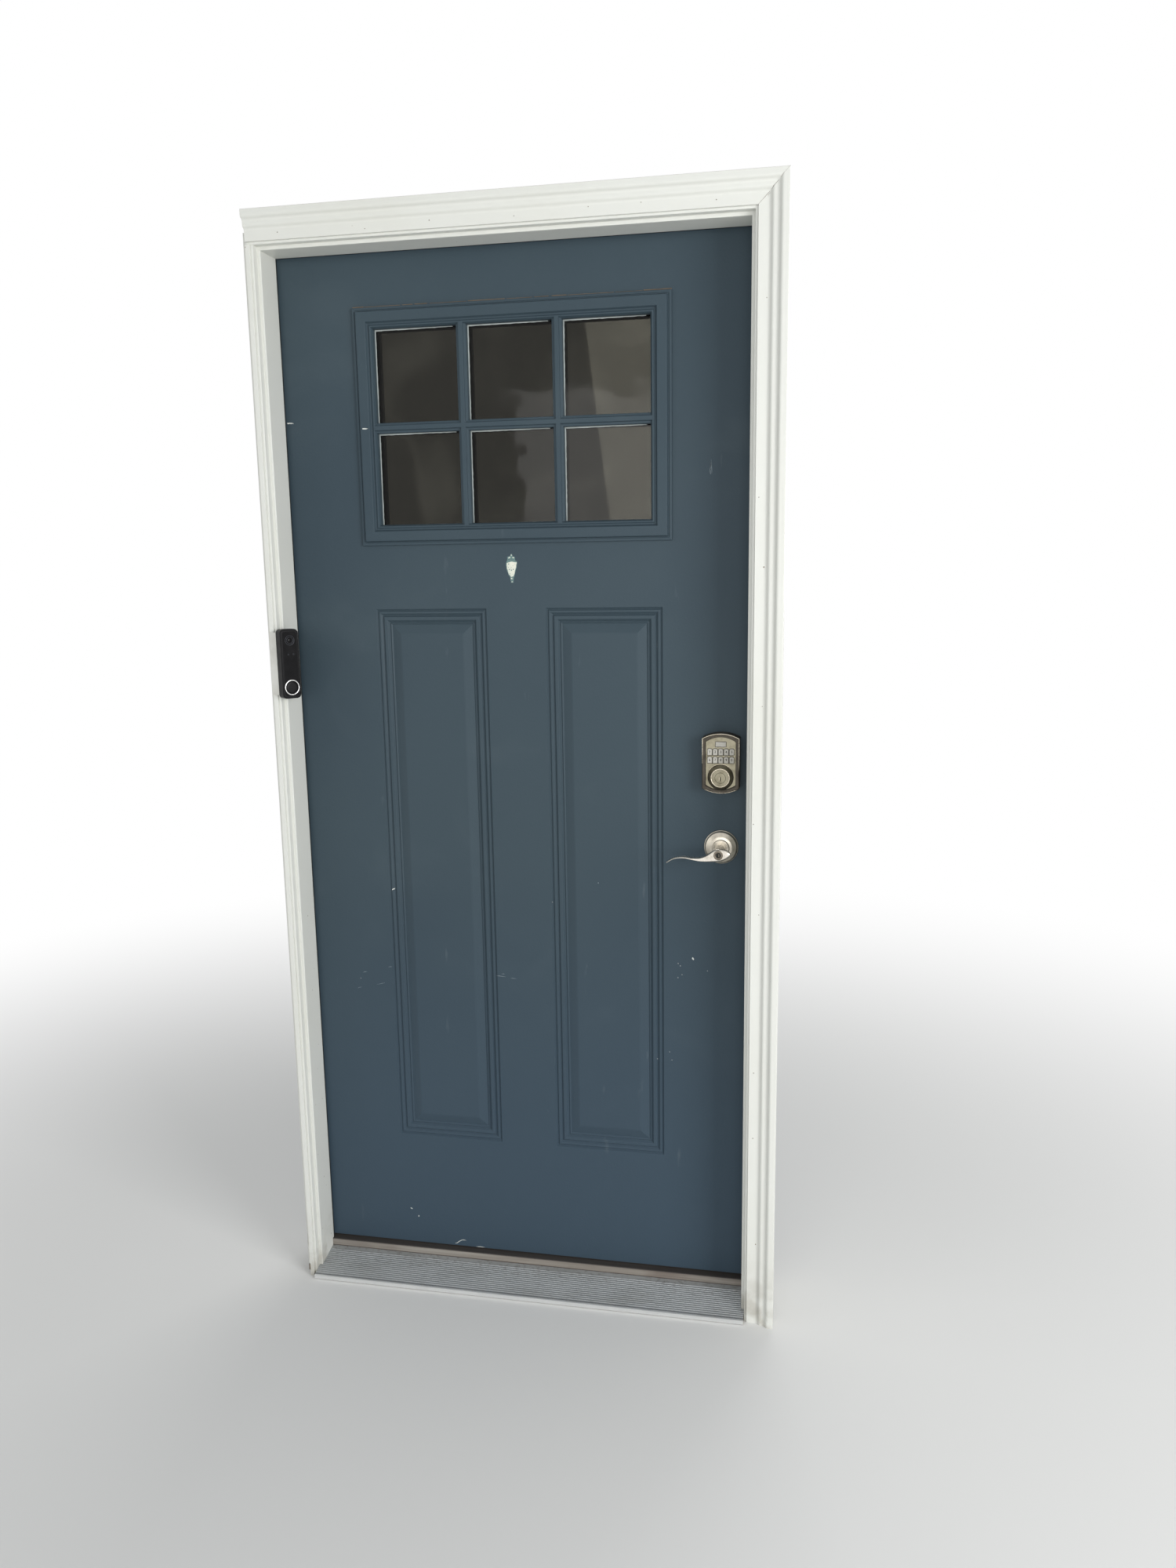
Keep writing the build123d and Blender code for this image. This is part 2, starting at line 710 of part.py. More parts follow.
WOOD_FRONT = FACE_Y + SKIN_T
WOOD_BACK = BACK_Y - SKIN_T
STILE_IN = SLAB_X - STILE_W
LOCK_MID_Z = (LEVER_Z + BOLT_Z) / 2

with BuildPart() as stile_hinge:
    block(-SLAB_X, -STILE_IN, WOOD_FRONT, WOOD_BACK, SLAB_LIFT, SLAB_TOP)
    add(door_leaf_pockets.part, mode=Mode.SUBTRACT)
    add(edge_screw_holes, mode=Mode.SUBTRACT)
keep(stile_hinge.part, "stile_hinge")

with BuildPart() as stile_latch:
    block(STILE_IN, SLAB_X, WOOD_FRONT, WOOD_BACK, SLAB_LIFT, SLAB_TOP)
    block(SLAB_X - LOCK_BLOCK_W, SLAB_X, WOOD_FRONT, WOOD_BACK, LOCK_MID_Z - LOCK_BLOCK_H / 2,
          LOCK_MID_Z + LOCK_BLOCK_H / 2)
    cut_cross_bores()
    for z in (LEVER_Z, BOLT_Z):
        add(rod((SLAB_X + PAST, MID_Y, z), (-1, 0, 0), EDGE_BORE_R, BACKSET + PAST), mode=Mode.SUBTRACT)
        block(SLAB_X - FACEPLATE_T, SLAB_X + PAST, MID_Y - FACEPLATE_W / 2, MID_Y + FACEPLATE_W / 2,
              z - FACEPLATE_H / 2, z + FACEPLATE_H / 2, mode=Mode.SUBTRACT)
    add(edge_screw_holes, mode=Mode.SUBTRACT)
keep(stile_latch.part, "stile_latch")

with BuildPart() as slab_rails:
    for low in (SLAB_LIFT, SLAB_TOP - RAIL_H):
        block(-STILE_IN, STILE_IN, WOOD_FRONT, WOOD_BACK, low, low + RAIL_H)
keep(slab_rails.part, "slab_rails")

with BuildPart() as foam_core:
    inner_half = slab_form.part.moved(Location((0, SKIN_T, 0)))
    add(inner_half)
    mirror(inner_half, about=MIDDLE_PLANE)
    block(-STILE_IN + CORE_GAP, STILE_IN - CORE_GAP, FACE_Y, BACK_Y, SLAB_LIFT + RAIL_H + CORE_GAP,
          SLAB_TOP - RAIL_H - CORE_GAP, mode=Mode.INTERSECT)
    block_reach = LOCK_BLOCK_H / 2 + CORE_GAP
    block(SLAB_X - LOCK_BLOCK_W - CORE_GAP, SLAB_X, FACE_Y, BACK_Y, LOCK_MID_Z - block_reach,
          LOCK_MID_Z + block_reach, mode=Mode.SUBTRACT)
    cut_window(CUTOUT_INSET)
keep(foam_core.part, "foam_core")

with BuildPart() as door_sweep:
    sweep_x = SLAB_X - LOOSE
    block(-sweep_x, sweep_x, WOOD_FRONT + PAST, WOOD_BACK - PAST, SLAB_LIFT - SWEEP_T, SLAB_LIFT)
    for number in range(-SWEEP_FINS, SWEEP_FINS + 1):
        y = MID_Y + number * SWEEP_FIN_PITCH
        block(-sweep_x, sweep_x, y - SWEEP_FIN_W / 2, y + SWEEP_FIN_W / 2, RISER_TOP + LOOSE, SLAB_LIFT)
keep(door_sweep.part, "door_sweep")

# Window
LITE_SECTION = [
    (0, 0, 0),
    (0, 5.0, 1.2),
    (4.6, 5.4, 0.8),
    (5.4, 4.4, 0.2),
    (6.6, 4.4, 0.4),
    (8.4, LITE_PROUD, 1.2),
    (LITE_BORDER - 12.2, LITE_PROUD, 1.6),
    (LITE_BORDER - 9.6, 5.0, 1.4),
    (LITE_BORDER - 6.9, 5.0, 1.2),
    (LITE_BORDER - 5.1, 7.1, 1.2),
    (LITE_BORDER - 2.9, 7.1, 1.4),
    (LITE_BORDER, 1.5, 0),
    (LITE_BORDER, -GLASS_RECESS, 0),
    (GLASS_INSET - LOOSE, -GLASS_RECESS, 0),
    (GLASS_INSET - LOOSE, -SLAB_T / 2 + SLIDE, 0),
    (CUTOUT_INSET + LOOSE, -SLAB_T / 2 + SLIDE, 0),
    (CUTOUT_INSET + LOOSE, 0, 0),
]
half_muntin = MUNTIN_W / 2
MUNTIN_HALF = [
    (half_muntin, -GLASS_RECESS + SLIDE),
    (half_muntin, 1.9),
    (half_muntin - 0.9, 2.9),
    (half_muntin - 3.9, 3.5),
    (half_muntin - 4.6, 4.2),
    (half_muntin - 5.1, MUNTIN_PROUD - 0.7),
    (half_muntin - 5.8, MUNTIN_PROUD),
]
muntin_section = MUNTIN_HALF + [(-across, off) for across, off in reversed(MUNTIN_HALF)]
clear_w = LITE_W - 2 * LITE_BORDER
clear_h = LITE_H - 2 * LITE_BORDER
PANE_PITCH = (clear_w + MUNTIN_W) / 3

with BuildPart() as lite_moulding:
    add(mitred_ring(0, LITE_CENTRE_Z, LITE_W, LITE_H, LITE_SECTION))
    for column in (-0.5, 0.5):
        upright = [(column * PANE_PITCH + across, FACE_Y - off) for across, off in muntin_section]
        foot = Plane.XY.offset(LITE_CENTRE_Z - clear_h / 2 - MUNTIN_SINK)
        add(bar(foot, upright, clear_h + 2 * MUNTIN_SINK))
    crosswise = [(FACE_Y - off, LITE_CENTRE_Z + across) for across, off in muntin_section]
    add(bar(Plane.YZ.offset(-clear_w / 2 - MUNTIN_SINK), crosswise, clear_w + 2 * MUNTIN_SINK))

with BuildPart() as lite_frame_outside:
    add(lite_moulding.part)
    add(lite_screw_holes, mode=Mode.SUBTRACT)
keep(lite_frame_outside.part, "lite_frame_outside")

with BuildPart() as lite_frame_inside:
    mirror(lite_moulding.part, about=MIDDLE_PLANE)
    add(lite_screw_holes, mode=Mode.SUBTRACT)
keep(lite_frame_inside.part, "lite_frame_inside")

glass_w = LITE_W / 2 - GLASS_INSET
glass_h = LITE_H / 2 - GLASS_INSET
pane_front = FACE_Y + GLASS_RECESS
pane_back = BACK_Y - GLASS_RECESS
with BuildPart() as glass_panes:
    for y0 in (pane_front, pane_back - PANE_T):
        block(-glass_w, glass_w, y0, y0 + PANE_T, LITE_CENTRE_Z - glass_h, LITE_CENTRE_Z + glass_h)
keep(glass_panes.part, "glass_panes")

with BuildPart() as glass_spacer:
    spacer_y0 = pane_front + PANE_T
    spacer_y1 = pane_back - PANE_T
    block(-glass_w, glass_w, spacer_y0, spacer_y1, LITE_CENTRE_Z - glass_h, LITE_CENTRE_Z + glass_h)
    block(-glass_w + SPACER_W, glass_w - SPACER_W, spacer_y0, spacer_y1, LITE_CENTRE_Z - glass_h + SPACER_W,
          LITE_CENTRE_Z + glass_h - SPACER_W, mode=Mode.SUBTRACT)
keep(glass_spacer.part, "glass_spacer")


# Bolts in the slab's edge
def bolt_case(z, bolt_w, bolt_h, back_x):
    """A tube and faceplate in the slab's edge, with a sliding hole for the bolt."""
    with BuildPart() as case:
        block(SLAB_X - FACEPLATE_T, SLAB_X, MID_Y - FACEPLATE_W / 2, MID_Y + FACEPLATE_W / 2,
              z - FACEPLATE_H / 2, z + FACEPLATE_H / 2)
        add(rod((SLAB_X - FACEPLATE_T, MID_Y, z), (-1, 0, 0), CASE_R, SLAB_X - FACEPLATE_T - back_x))
        block(back_x - PAST, SLAB_X + PAST, MID_Y - bolt_w / 2 - SLIDE, MID_Y + bolt_w / 2 + SLIDE,
              z - bolt_h / 2 - SLIDE, z + bolt_h / 2 + SLIDE, mode=Mode.SUBTRACT)
        add(edge_screw_holes, mode=Mode.SUBTRACT)
    return case.part


keep(bolt_case(LEVER_Z, LATCH_W, LATCH_H, BORE_X + CROSS_BORE_R), "latch_case")
with BuildPart() as deadbolt_case:
    add(bolt_case(BOLT_Z, BOLT_W, BOLT_H, BORE_X - CASE_R))
    add(rod((BORE_X, FACE_Y, BOLT_Z), (0, 1, 0), BLADE_R + RUN, SLAB_T), mode=Mode.SUBTRACT)
keep(deadbolt_case.part, "deadbolt_case")

with BuildPart() as latch_bolt:
    latch_tip = SLAB_X - SLIDE
    block(latch_tip - LATCH_L, latch_tip, MID_Y - LATCH_W / 2, MID_Y + LATCH_W / 2, LEVER_Z - LATCH_H / 2,
          LEVER_Z + LATCH_H / 2)
    slant_edge = latch_bolt.edges().filter_by(Axis.Z).group_by(Axis.X)[-1].sort_by(Axis.Y)[0]
    chamfer(slant_edge, LATCH_THROW - LATCH_NOSE, LATCH_W - LATCH_NOSE)
keep(latch_bolt.part, "latch_bolt")

with BuildPart() as deadbolt_bolt:
    bolt_tip = SLAB_X - SLIDE
    block(bolt_tip - BOLT_L, bolt_tip, MID_Y - BOLT_W / 2, MID_Y + BOLT_W / 2, BOLT_Z - BOLT_H / 2,
          BOLT_Z + BOLT_H / 2)
    fillet(deadbolt_bolt.edges().filter_by(Axis.X), BOLT_ROUND)
keep(deadbolt_bolt.part, "deadbolt_bolt")


# Lever set
def turned(centre, outline):
    """A turned piece on an axis square to the slab; its outline's points are
    (radius, height off the face, rounding)."""
    with BuildPart() as piece:
        with BuildSketch(Plane(origin=centre, x_dir=(1, 0, 0), z_dir=(0, 0, 1))):
            with BuildLine():
                points = [(radius, -height) for radius, height in flat(outline)]
                FilletPolyline(*points, radius=roundings(outline), close=True)
            make_face()
        revolve(axis=Axis(centre, (0, 1, 0)))
    return piece.part


lever_face = (BORE_X, FACE_Y, LEVER_Z)
neck_hole = NECK_R + RUN
rose_outline = [
    (neck_hole, 0, 0),
    (COLLAR_R - COLLAR_WALL, 0, 0),
    (COLLAR_R - COLLAR_WALL, ROSE_H - ROSE_WALL, 0),
    (ROSE_R - ROSE_SHOULDER, ROSE_H - ROSE_WALL - 1, 0),
    (ROSE_R - ROSE_FOOT - ROSE_WALL, ROSE_H / 2 - 1, 0),
    (ROSE_R - ROSE_FOOT, 0, 0),
    (ROSE_R, 0, 0),
    (ROSE_R, ROSE_T, 0.6),
    (ROSE_R - ROSE_RIM, ROSE_T + ROSE_RIM / 2, 0.4),
    (ROSE_R - ROSE_RISE, ROSE_H / 2 + 1, 4.0),
    (ROSE_R - ROSE_SHOULDER, ROSE_H - 1, 6.0),
    (COLLAR_R + 1, ROSE_H, 0.6),
    (COLLAR_R, ROSE_H + COLLAR_H, 0.8),
    (neck_hole, ROSE_H + COLLAR_H, 0),
]
rose = turned(lever_face, rose_outline)
keep(rose, "rose_outside")
with BuildPart() as rose_inside:
    mirror(rose, about=MIDDLE_PLANE)
keep(rose_inside.part, "rose_inside")

with BuildPart() as lock_chassis:
    add(rod((BORE_X, FACE_Y, LEVER_Z), (0, 1, 0), CHASSIS_R, SLAB_T))
    add(rod((BORE_X, FACE_Y, LEVER_Z), (0, 1, 0), neck_hole, SLAB_T), mode=Mode.SUBTRACT)
keep(lock_chassis.part, "lock_chassis")

# Stations along the lever: offset in X and Z, half height, offset towards the slab, half depth
LEVER_STATIONS = [
    (22.5, 1.2, 2.4, 0.0, 2.2),
    (20.4, 1.3, 4.6, 0.0, 4.2),
    (16.5, 1.1, 7.4, 0.0, 5.8),
    (10.0, 0.2, 10.2, 0.0, 6.8),
    (2.7, -1.0, 11.7, 0.0, 6.9),
    (-4.6, -2.2, 11.8, 0.0, 6.9),
    (-11.9, -4.1, 10.4, 0.0, 6.9),
    (-19.3, -6.7, 7.7, 0.0, 7.0),
    (-26.8, -8.6, 5.5, 0.2, 7.2),
    (-34.0, -9.6, 4.0, 0.6, 7.4),
    (-42.0, -9.5, 3.1, 1.2, 7.6),
    (-50.0, -8.9, 2.6, 2.0, 7.6),
    (-60.0, -7.7, 2.3, 3.2, 7.4),
    (-71.0, -7.8, 2.1, 4.6, 6.9),
    (-80.0, -9.5, 1.9, 6.0, 6.2),
    (-88.0, -12.8, 1.7, 7.2, 5.2),
    (-94.3, -16.9, 1.5, 8.0, 3.8),
    (-98.5, -20.2, 1.0, 8.4, 2.4),
]


def lever_form():
    """A wave lever with a flat on its eye and a round neck into the lock."""
    front = FACE_Y - LEVER_REACH
    with BuildPart() as lever:
        for along, rise, half_height, back, half_depth in LEVER_STATIONS:
            centre = (BORE_X + along, front + back, LEVER_Z + rise)
            with BuildSketch(Plane(origin=centre, x_dir=(0, 1, 0), z_dir=(1, 0, 0))):
                Ellipse(half_depth, half_height)
        loft()
        block(BORE_X - EYE_FLAT_L, BORE_X + NECK_R * 3, front - EYE_FLAT * 2, front - EYE_FLAT,
              LEVER_Z - NECK_R * 2, LEVER_Z + NECK_R * 2, mode=Mode.SUBTRACT)
        add(rod((BORE_X, front, LEVER_Z), (0, 1, 0), NECK_R, LEVER_REACH + NECK_DEPTH))
    return lever.part


lever = lever_form()
plug_front = FACE_Y - LEVER_REACH - EYE_FLAT - PLUG_PROUD
button_front = (BORE_X, BACK_Y + LEVER_REACH + EYE_FLAT + PLUG_PROUD, LEVER_Z)
with BuildPart() as lever_outside:
    add(lever)
    add(rod((BORE_X, plug_front, LEVER_Z), (0, 1, 0), PLUG_R + RUN, PLUG_L + LOOSE), mode=Mode.SUBTRACT)
keep(lever_outside.part, "lever_outside")

with BuildPart() as lever_plug:
    add(rod((BORE_X, plug_front, LEVER_Z), (0, 1, 0), PLUG_R, PLUG_L))
    block(BORE_X - KEYWAY_W / 2, BORE_X + KEYWAY_W / 2, plug_front - PAST, plug_front + PLUG_L / 2,
          LEVER_Z - KEYWAY_H / 2, LEVER_Z + KEYWAY_H / 2, mode=Mode.SUBTRACT)
keep(lever_plug.part, "lever_plug")

with BuildPart() as lever_inside:
    mirror(lever, about=MIDDLE_PLANE)
    add(rod(button_front, (0, -1, 0), TURN_BUTTON_R + RUN, PLUG_L + LOOSE), mode=Mode.SUBTRACT)
keep(lever_inside.part, "lever_inside")

with BuildPart() as turn_button:
    add(rod(button_front, (0, -1, 0), TURN_BUTTON_R, PLUG_L))
    half_grip = TURN_BUTTON_R - GRIP_INSET
    block(BORE_X - GRIP_W / 2, BORE_X + GRIP_W / 2, button_front[1] - PAST, button_front[1] + GRIP_H,
          LEVER_Z - half_grip, LEVER_Z + half_grip)
keep(turn_button.part, "turn_button")


# Keypad lock
def arched_face(plane, inset):
    """The keypad's outline, arched at its top and bottom, drawn inset from its edge."""
    left = BORE_X - KEYPAD_W / 2 + inset
    right = BORE_X + KEYPAD_W / 2 - inset
    low = BOLT_Z - KEYPAD_LOW + inset
    high = BOLT_Z + KEYPAD_HIGH - inset
    with BuildSketch(plane) as face:
        with BuildLine():
            Line((left, low), (left, high))
            ThreePointArc((left, high), (BORE_X, high + KEYPAD_ARCH), (right, high))
            Line((right, high), (right, low))
            ThreePointArc((right, low), (BORE_X, low - KEYPAD_ARCH), (left, low))
        make_face()
    return face.sketch


def off_face(height):
    """A plane outside the slab, this far off its face, with X to the right and Z up."""
    return Plane.XZ.offset(height - FACE_Y)


ledge_top = KEYPAD_D - KEYPAD_SINK - KEYPAD_FACE_T
face_front = KEYPAD_D - KEYPAD_SINK

with BuildPart() as keypad_housing:
    extrude(arched_face(off_face(0), 0), amount=KEYPAD_D)
    chamfer(keypad_housing.edges().group_by(Axis.Y)[0], KEYPAD_BEVEL)
    extrude(arched_face(off_face(ledge_top), KEYPAD_RIM), amount=KEYPAD_D, mode=Mode.SUBTRACT)
    extrude(arched_face(off_face(0), KEYPAD_RIM + KEYPAD_LEDGE), amount=KEYPAD_D, mode=Mode.SUBTRACT)
    extrude(arched_face(off_face(0), COVER_WALL), amount=ledge_top - KEYPAD_LEDGE, mode=Mode.SUBTRACT)
keep(keypad_housing.part, "keypad_housing")


def key_sketch(plane, x, z, grow=0.0):
    """A digit key's outline: straight sides and an arched top."""
    half = KEY_W / 2 + grow
    low = z - KEY_H / 2 - grow
    shoulder = z + KEY_H / 2 - KEY_ARCH
    with BuildSketch(plane) as outline:
        with BuildLine():
            Line((x - half, shoulder), (x - half, low))
            Line((x - half, low), (x + half, low))
            Line((x + half, low), (x + half, shoulder))
            ThreePointArc((x + half, shoulder), (x, z + KEY_H / 2 + grow), (x - half, shoulder))
        make_face()
    return outline.sketch


def key_places():
    """The digit of each key and the middle of its face."""
    places = []
    for number in range(2 * KEY_COLUMNS):
        row, column = divmod(number, KEY_COLUMNS)
        x = BORE_X + (column - (KEY_COLUMNS - 1) / 2) * KEY_PITCH_X
        z = BOLT_Z + KEY_ROW_Z + (1 - row) * KEY_PITCH_Z
        places.append(((number + 1) % (2 * KEY_COLUMNS), x, z))
    return places


bolt_face = (BORE_X, FACE_Y - face_front, BOLT_Z)
guard_outline = [
    (0, -KEYPAD_FACE_T, 0),
    (GUARD_R, -KEYPAD_FACE_T, 0),
    (GUARD_R, 0.8, 0.6),
    (GUARD_TOP_R, GUARD_H, 1.2),
    (0, GUARD_H, 0),
]
lock_key_z = BOLT_Z + LOCK_KEY_Z
key_back = face_front + KEY_PROUD - KEY_T



def lock_key_block(back, front, grow, mode):
    """The wide key above the digits, between two heights off the slab's face."""
    half_w = LOCK_KEY_W / 2 + grow
    half_h = LOCK_KEY_H / 2 + grow
    block(BORE_X - half_w, BORE_X + half_w, FACE_Y - front, FACE_Y - back, lock_key_z - half_h,
          lock_key_z + half_h, mode=mode)


with BuildPart() as keypad_face:
    extrude(arched_face(off_face(ledge_top), KEYPAD_RIM + SLIDE), amount=KEYPAD_FACE_T)
    add(turned(bolt_face, guard_outline))
    add(rod((BORE_X, FACE_Y - ledge_top, BOLT_Z), (0, 1, 0), GUARD_TOP_R, ledge_top - LOOSE))
    add(rod((BORE_X, FACE_Y - KEYPAD_D * 2, BOLT_Z), (0, 1, 0), CYLINDER_PLUG_R + RUN, KEYPAD_D * 2),
        mode=Mode.SUBTRACT)
    for digit, x, z in key_places():
        extrude(key_sketch(off_face(ledge_top - PAST), x, z, KEY_GAP), amount=KEYPAD_D, mode=Mode.SUBTRACT)
    lock_key_block(ledge_top - PAST, KEYPAD_D, KEY_GAP, Mode.SUBTRACT)
keep(keypad_face.part, "keypad_face")

for digit, x, z in key_places():
    with BuildPart() as key:
        extrude(key_sketch(off_face(key_back), x, z), amount=KEY_T)
        fillet(key.edges().group_by(Axis.Y)[0], KEY_ROUND)
    keep(key.part, f"key_{digit}")

with BuildPart() as lock_key:
    lock_key_block(key_back, key_back + KEY_T, 0, Mode.ADD)
    fillet(lock_key.edges().group_by(Axis.Y)[0], KEY_ROUND)
keep(lock_key.part, "lock_key")

plug_top = face_front + GUARD_H + LOOSE
with BuildPart() as deadbolt_plug:
    add(rod((BORE_X, FACE_Y - plug_top, BOLT_Z), (0, 1, 0), CYLINDER_PLUG_R, plug_top - LOOSE))
    block(BORE_X - KEYWAY_W / 2, BORE_X + KEYWAY_W / 2, FACE_Y - plug_top - PAST, FACE_Y - plug_top / 2,
          BOLT_Z - KEYWAY_H / 2 - KEYWAY_DROP, BOLT_Z + KEYWAY_H / 2 - KEYWAY_DROP, mode=Mode.SUBTRACT)
keep(deadbolt_plug.part, "deadbolt_plug")

# Inside cover, thumbturn and battery
inside_face = Plane(origin=(0, BACK_Y, 0), x_dir=(1, 0, 0), z_dir=(0, -1, 0))
cover_top = Plane(origin=(0, BACK_Y + COVER_D, 0), x_dir=(1, 0, 0), z_dir=(0, -1, 0))
with BuildPart() as deadbolt_inside_cover:
    extrude(arched_face(cover_top, 0), amount=COVER_D)
    fillet(deadbolt_inside_cover.edges().group_by(Axis.Y)[-1], COVER_ROUND)
    extrude(arched_face(inside_face, COVER_WALL), amount=COVER_WALL - COVER_D, mode=Mode.SUBTRACT)
    add(rod((BORE_X, BACK_Y, BOLT_Z), (0, 1, 0), BLADE_R + RUN, COVER_D + PAST), mode=Mode.SUBTRACT)
keep(deadbolt_inside_cover.part, "deadbolt_inside_cover")

with BuildPart() as thumbturn:
    knob_y = BACK_Y + COVER_D + LOOSE
    add(rod((BORE_X, knob_y, BOLT_Z), (0, 1, 0), THUMBTURN_R, THUMBTURN_DISC))
    block(BORE_X - THUMBTURN_W / 2, BORE_X + THUMBTURN_W / 2, knob_y, knob_y + THUMBTURN_H,
          BOLT_Z - THUMBTURN_R, BOLT_Z + THUMBTURN_R)
    grip_edges = thumbturn.edges().group_by(Axis.Y)[-1]
    fillet(grip_edges, THUMBTURN_W / 3)
    add(rod((BORE_X, knob_y, BOLT_Z), (0, -1, 0), BLADE_R, COVER_D + SLAB_T - BLADE_SHORT))
keep(thumbturn.part, "thumbturn")

with BuildPart() as battery:
    battery_z = BOLT_Z + BATTERY_RISE
    block(BORE_X - BATTERY_W / 2, BORE_X + BATTERY_W / 2, BACK_Y + LOOSE, BACK_Y + LOOSE + BATTERY_T,
          battery_z, battery_z + BATTERY_L)
    fillet(battery.edges().filter_by(Axis.Z), BATTERY_ROUND)
keep(battery.part, "battery")

# Doorbell, turned towards the visitor on a wedge
turn = math.radians(BELL_TURN)
across = Vector(math.cos(turn), math.sin(turn), 0)
outward = Vector(math.sin(turn), -math.cos(turn), 0)
bell_corner = Vector(BELL_CORNER_X, BELL_CORNER_Y, BELL_Z)


def bell_plane(height):
    """A plane parallel to the doorbell's back, with its origin on the doorbell's middle line."""
    return Plane(origin=bell_corner + across * (BELL_W / 2) + outward * height, x_dir=across, z_dir=outward)


with BuildPart() as doorbell_body:
    with BuildSketch(bell_plane(0)):
        RectangleRounded(BELL_W, BELL_H, BELL_ROUND)
    extrude(amount=BELL_T)
    front = doorbell_body.faces().sort_by(Axis(bell_corner, outward))[-1]
    fillet(front.edges(), BELL_EDGE)
    with BuildSketch(bell_plane(BELL_T)):
        with Locations((0, -BELL_BUTTON_DROP)):
            Circle(BELL_BUTTON_R + SLIDE)
    extrude(amount=-BELL_BUTTON_T - BELL_TRAVEL, mode=Mode.SUBTRACT)
    with BuildSketch(bell_plane(BELL_T)):
        with Locations((0, BELL_LENS_RISE)):
            Circle(BELL_LENS_R)
    extrude(amount=-BELL_LENS_T, mode=Mode.SUBTRACT)
keep(doorbell_body.part, "doorbell_body")

with BuildPart() as doorbell_lens:
    with BuildSketch(bell_plane(BELL_T - BELL_LENS_T)):
        with Locations((0, BELL_LENS_RISE)):
            Circle(BELL_LENS_R)
    extrude(amount=BELL_LENS_T + BELL_LENS_PROUD)
    fillet(doorbell_lens.faces().sort_by(Axis(bell_corner, outward))[-1].edges(), BELL_LENS_PROUD)
keep(doorbell_lens.part, "doorbell_lens")

with BuildPart() as doorbell_button:
    with BuildSketch(bell_plane(BELL_T - BELL_BUTTON_T)):
        with Locations((0, -BELL_BUTTON_DROP)):
            Circle(BELL_BUTTON_R)
    extrude(amount=BELL_BUTTON_T + BELL_BUTTON_PROUD)
    fillet(doorbell_button.faces().sort_by(Axis(bell_corner, outward))[-1].edges(), BELL_BUTTON_PROUD)
keep(doorbell_button.part, "doorbell_button")

with BuildPart() as doorbell_mount:
    back_left = bell_corner
    back_right = bell_corner + across * (BELL_W - BELL_ROUND)
    wedge = [
        (WEDGE_LEFT_X, -CASING_FLAT_T),
        (-CASING_X + LOOSE, -CASING_FLAT_T),
        (-CASING_X + LOOSE, 0),
        (-STOP_X, 0),
        (back_right.X, back_right.Y),
        (back_left.X, back_left.Y),
        (WEDGE_LEFT_X, -CASING_FLAT_T - WEDGE_PLATE),
    ]
    add(bar(Plane.XY.offset(BELL_Z - WEDGE_H / 2), wedge, WEDGE_H))
keep(doorbell_mount.part, "doorbell_mount")
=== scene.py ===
"""The looks of a panelled front door with its frame, in metres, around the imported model."""
import json
import math
import random

import bmesh
import bpy
from mathutils import Matrix, Vector


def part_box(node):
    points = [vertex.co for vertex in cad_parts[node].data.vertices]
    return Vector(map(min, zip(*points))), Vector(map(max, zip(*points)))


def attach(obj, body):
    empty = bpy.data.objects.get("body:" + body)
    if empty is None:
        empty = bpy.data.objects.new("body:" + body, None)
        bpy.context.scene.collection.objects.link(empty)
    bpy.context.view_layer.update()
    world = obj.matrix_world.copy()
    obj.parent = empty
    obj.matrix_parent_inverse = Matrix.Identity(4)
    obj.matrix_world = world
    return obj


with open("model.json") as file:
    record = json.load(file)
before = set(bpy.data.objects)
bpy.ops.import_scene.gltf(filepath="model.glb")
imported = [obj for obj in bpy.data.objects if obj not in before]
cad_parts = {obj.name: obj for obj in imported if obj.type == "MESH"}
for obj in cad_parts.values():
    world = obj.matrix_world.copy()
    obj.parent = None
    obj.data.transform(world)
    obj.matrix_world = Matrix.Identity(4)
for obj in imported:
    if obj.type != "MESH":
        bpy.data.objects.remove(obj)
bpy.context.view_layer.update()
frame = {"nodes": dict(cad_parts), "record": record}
nodes = frame["nodes"]
MM = 0.001
DEEP, UP = 1, 2
rng = random.Random(11)


# Surfaces, with the heights and depths at which their colours change
BLUE_TOP, BLUE_FOOT, DIRT_TOP = 1.0, 0.1, 0.16
GROOVE_BACK, GROOVE_FRONT, NOSE_HIGHLIGHT = (-0.0243, -0.0252), (-0.0274, -0.0266), (-0.0272, -0.0280)
RISER_FOOT, RISER_TOP = (0.0298, 0.0282), (0.0405, 0.0424)
LEVEL_STREAK, UPRIGHT_STREAK = (0.05, 1.0, 1.0), (1.0, 1.0, 0.05)


def paint(red, green, blue):
    """A colour given in 0 to 255, as the shader wants it."""
    def straight(value):
        value /= 255.0
        return value / 12.92 if value <= 0.04045 else ((value + 0.055) / 1.055) ** 2.4
    return (straight(red), straight(green), straight(blue), 1.0)


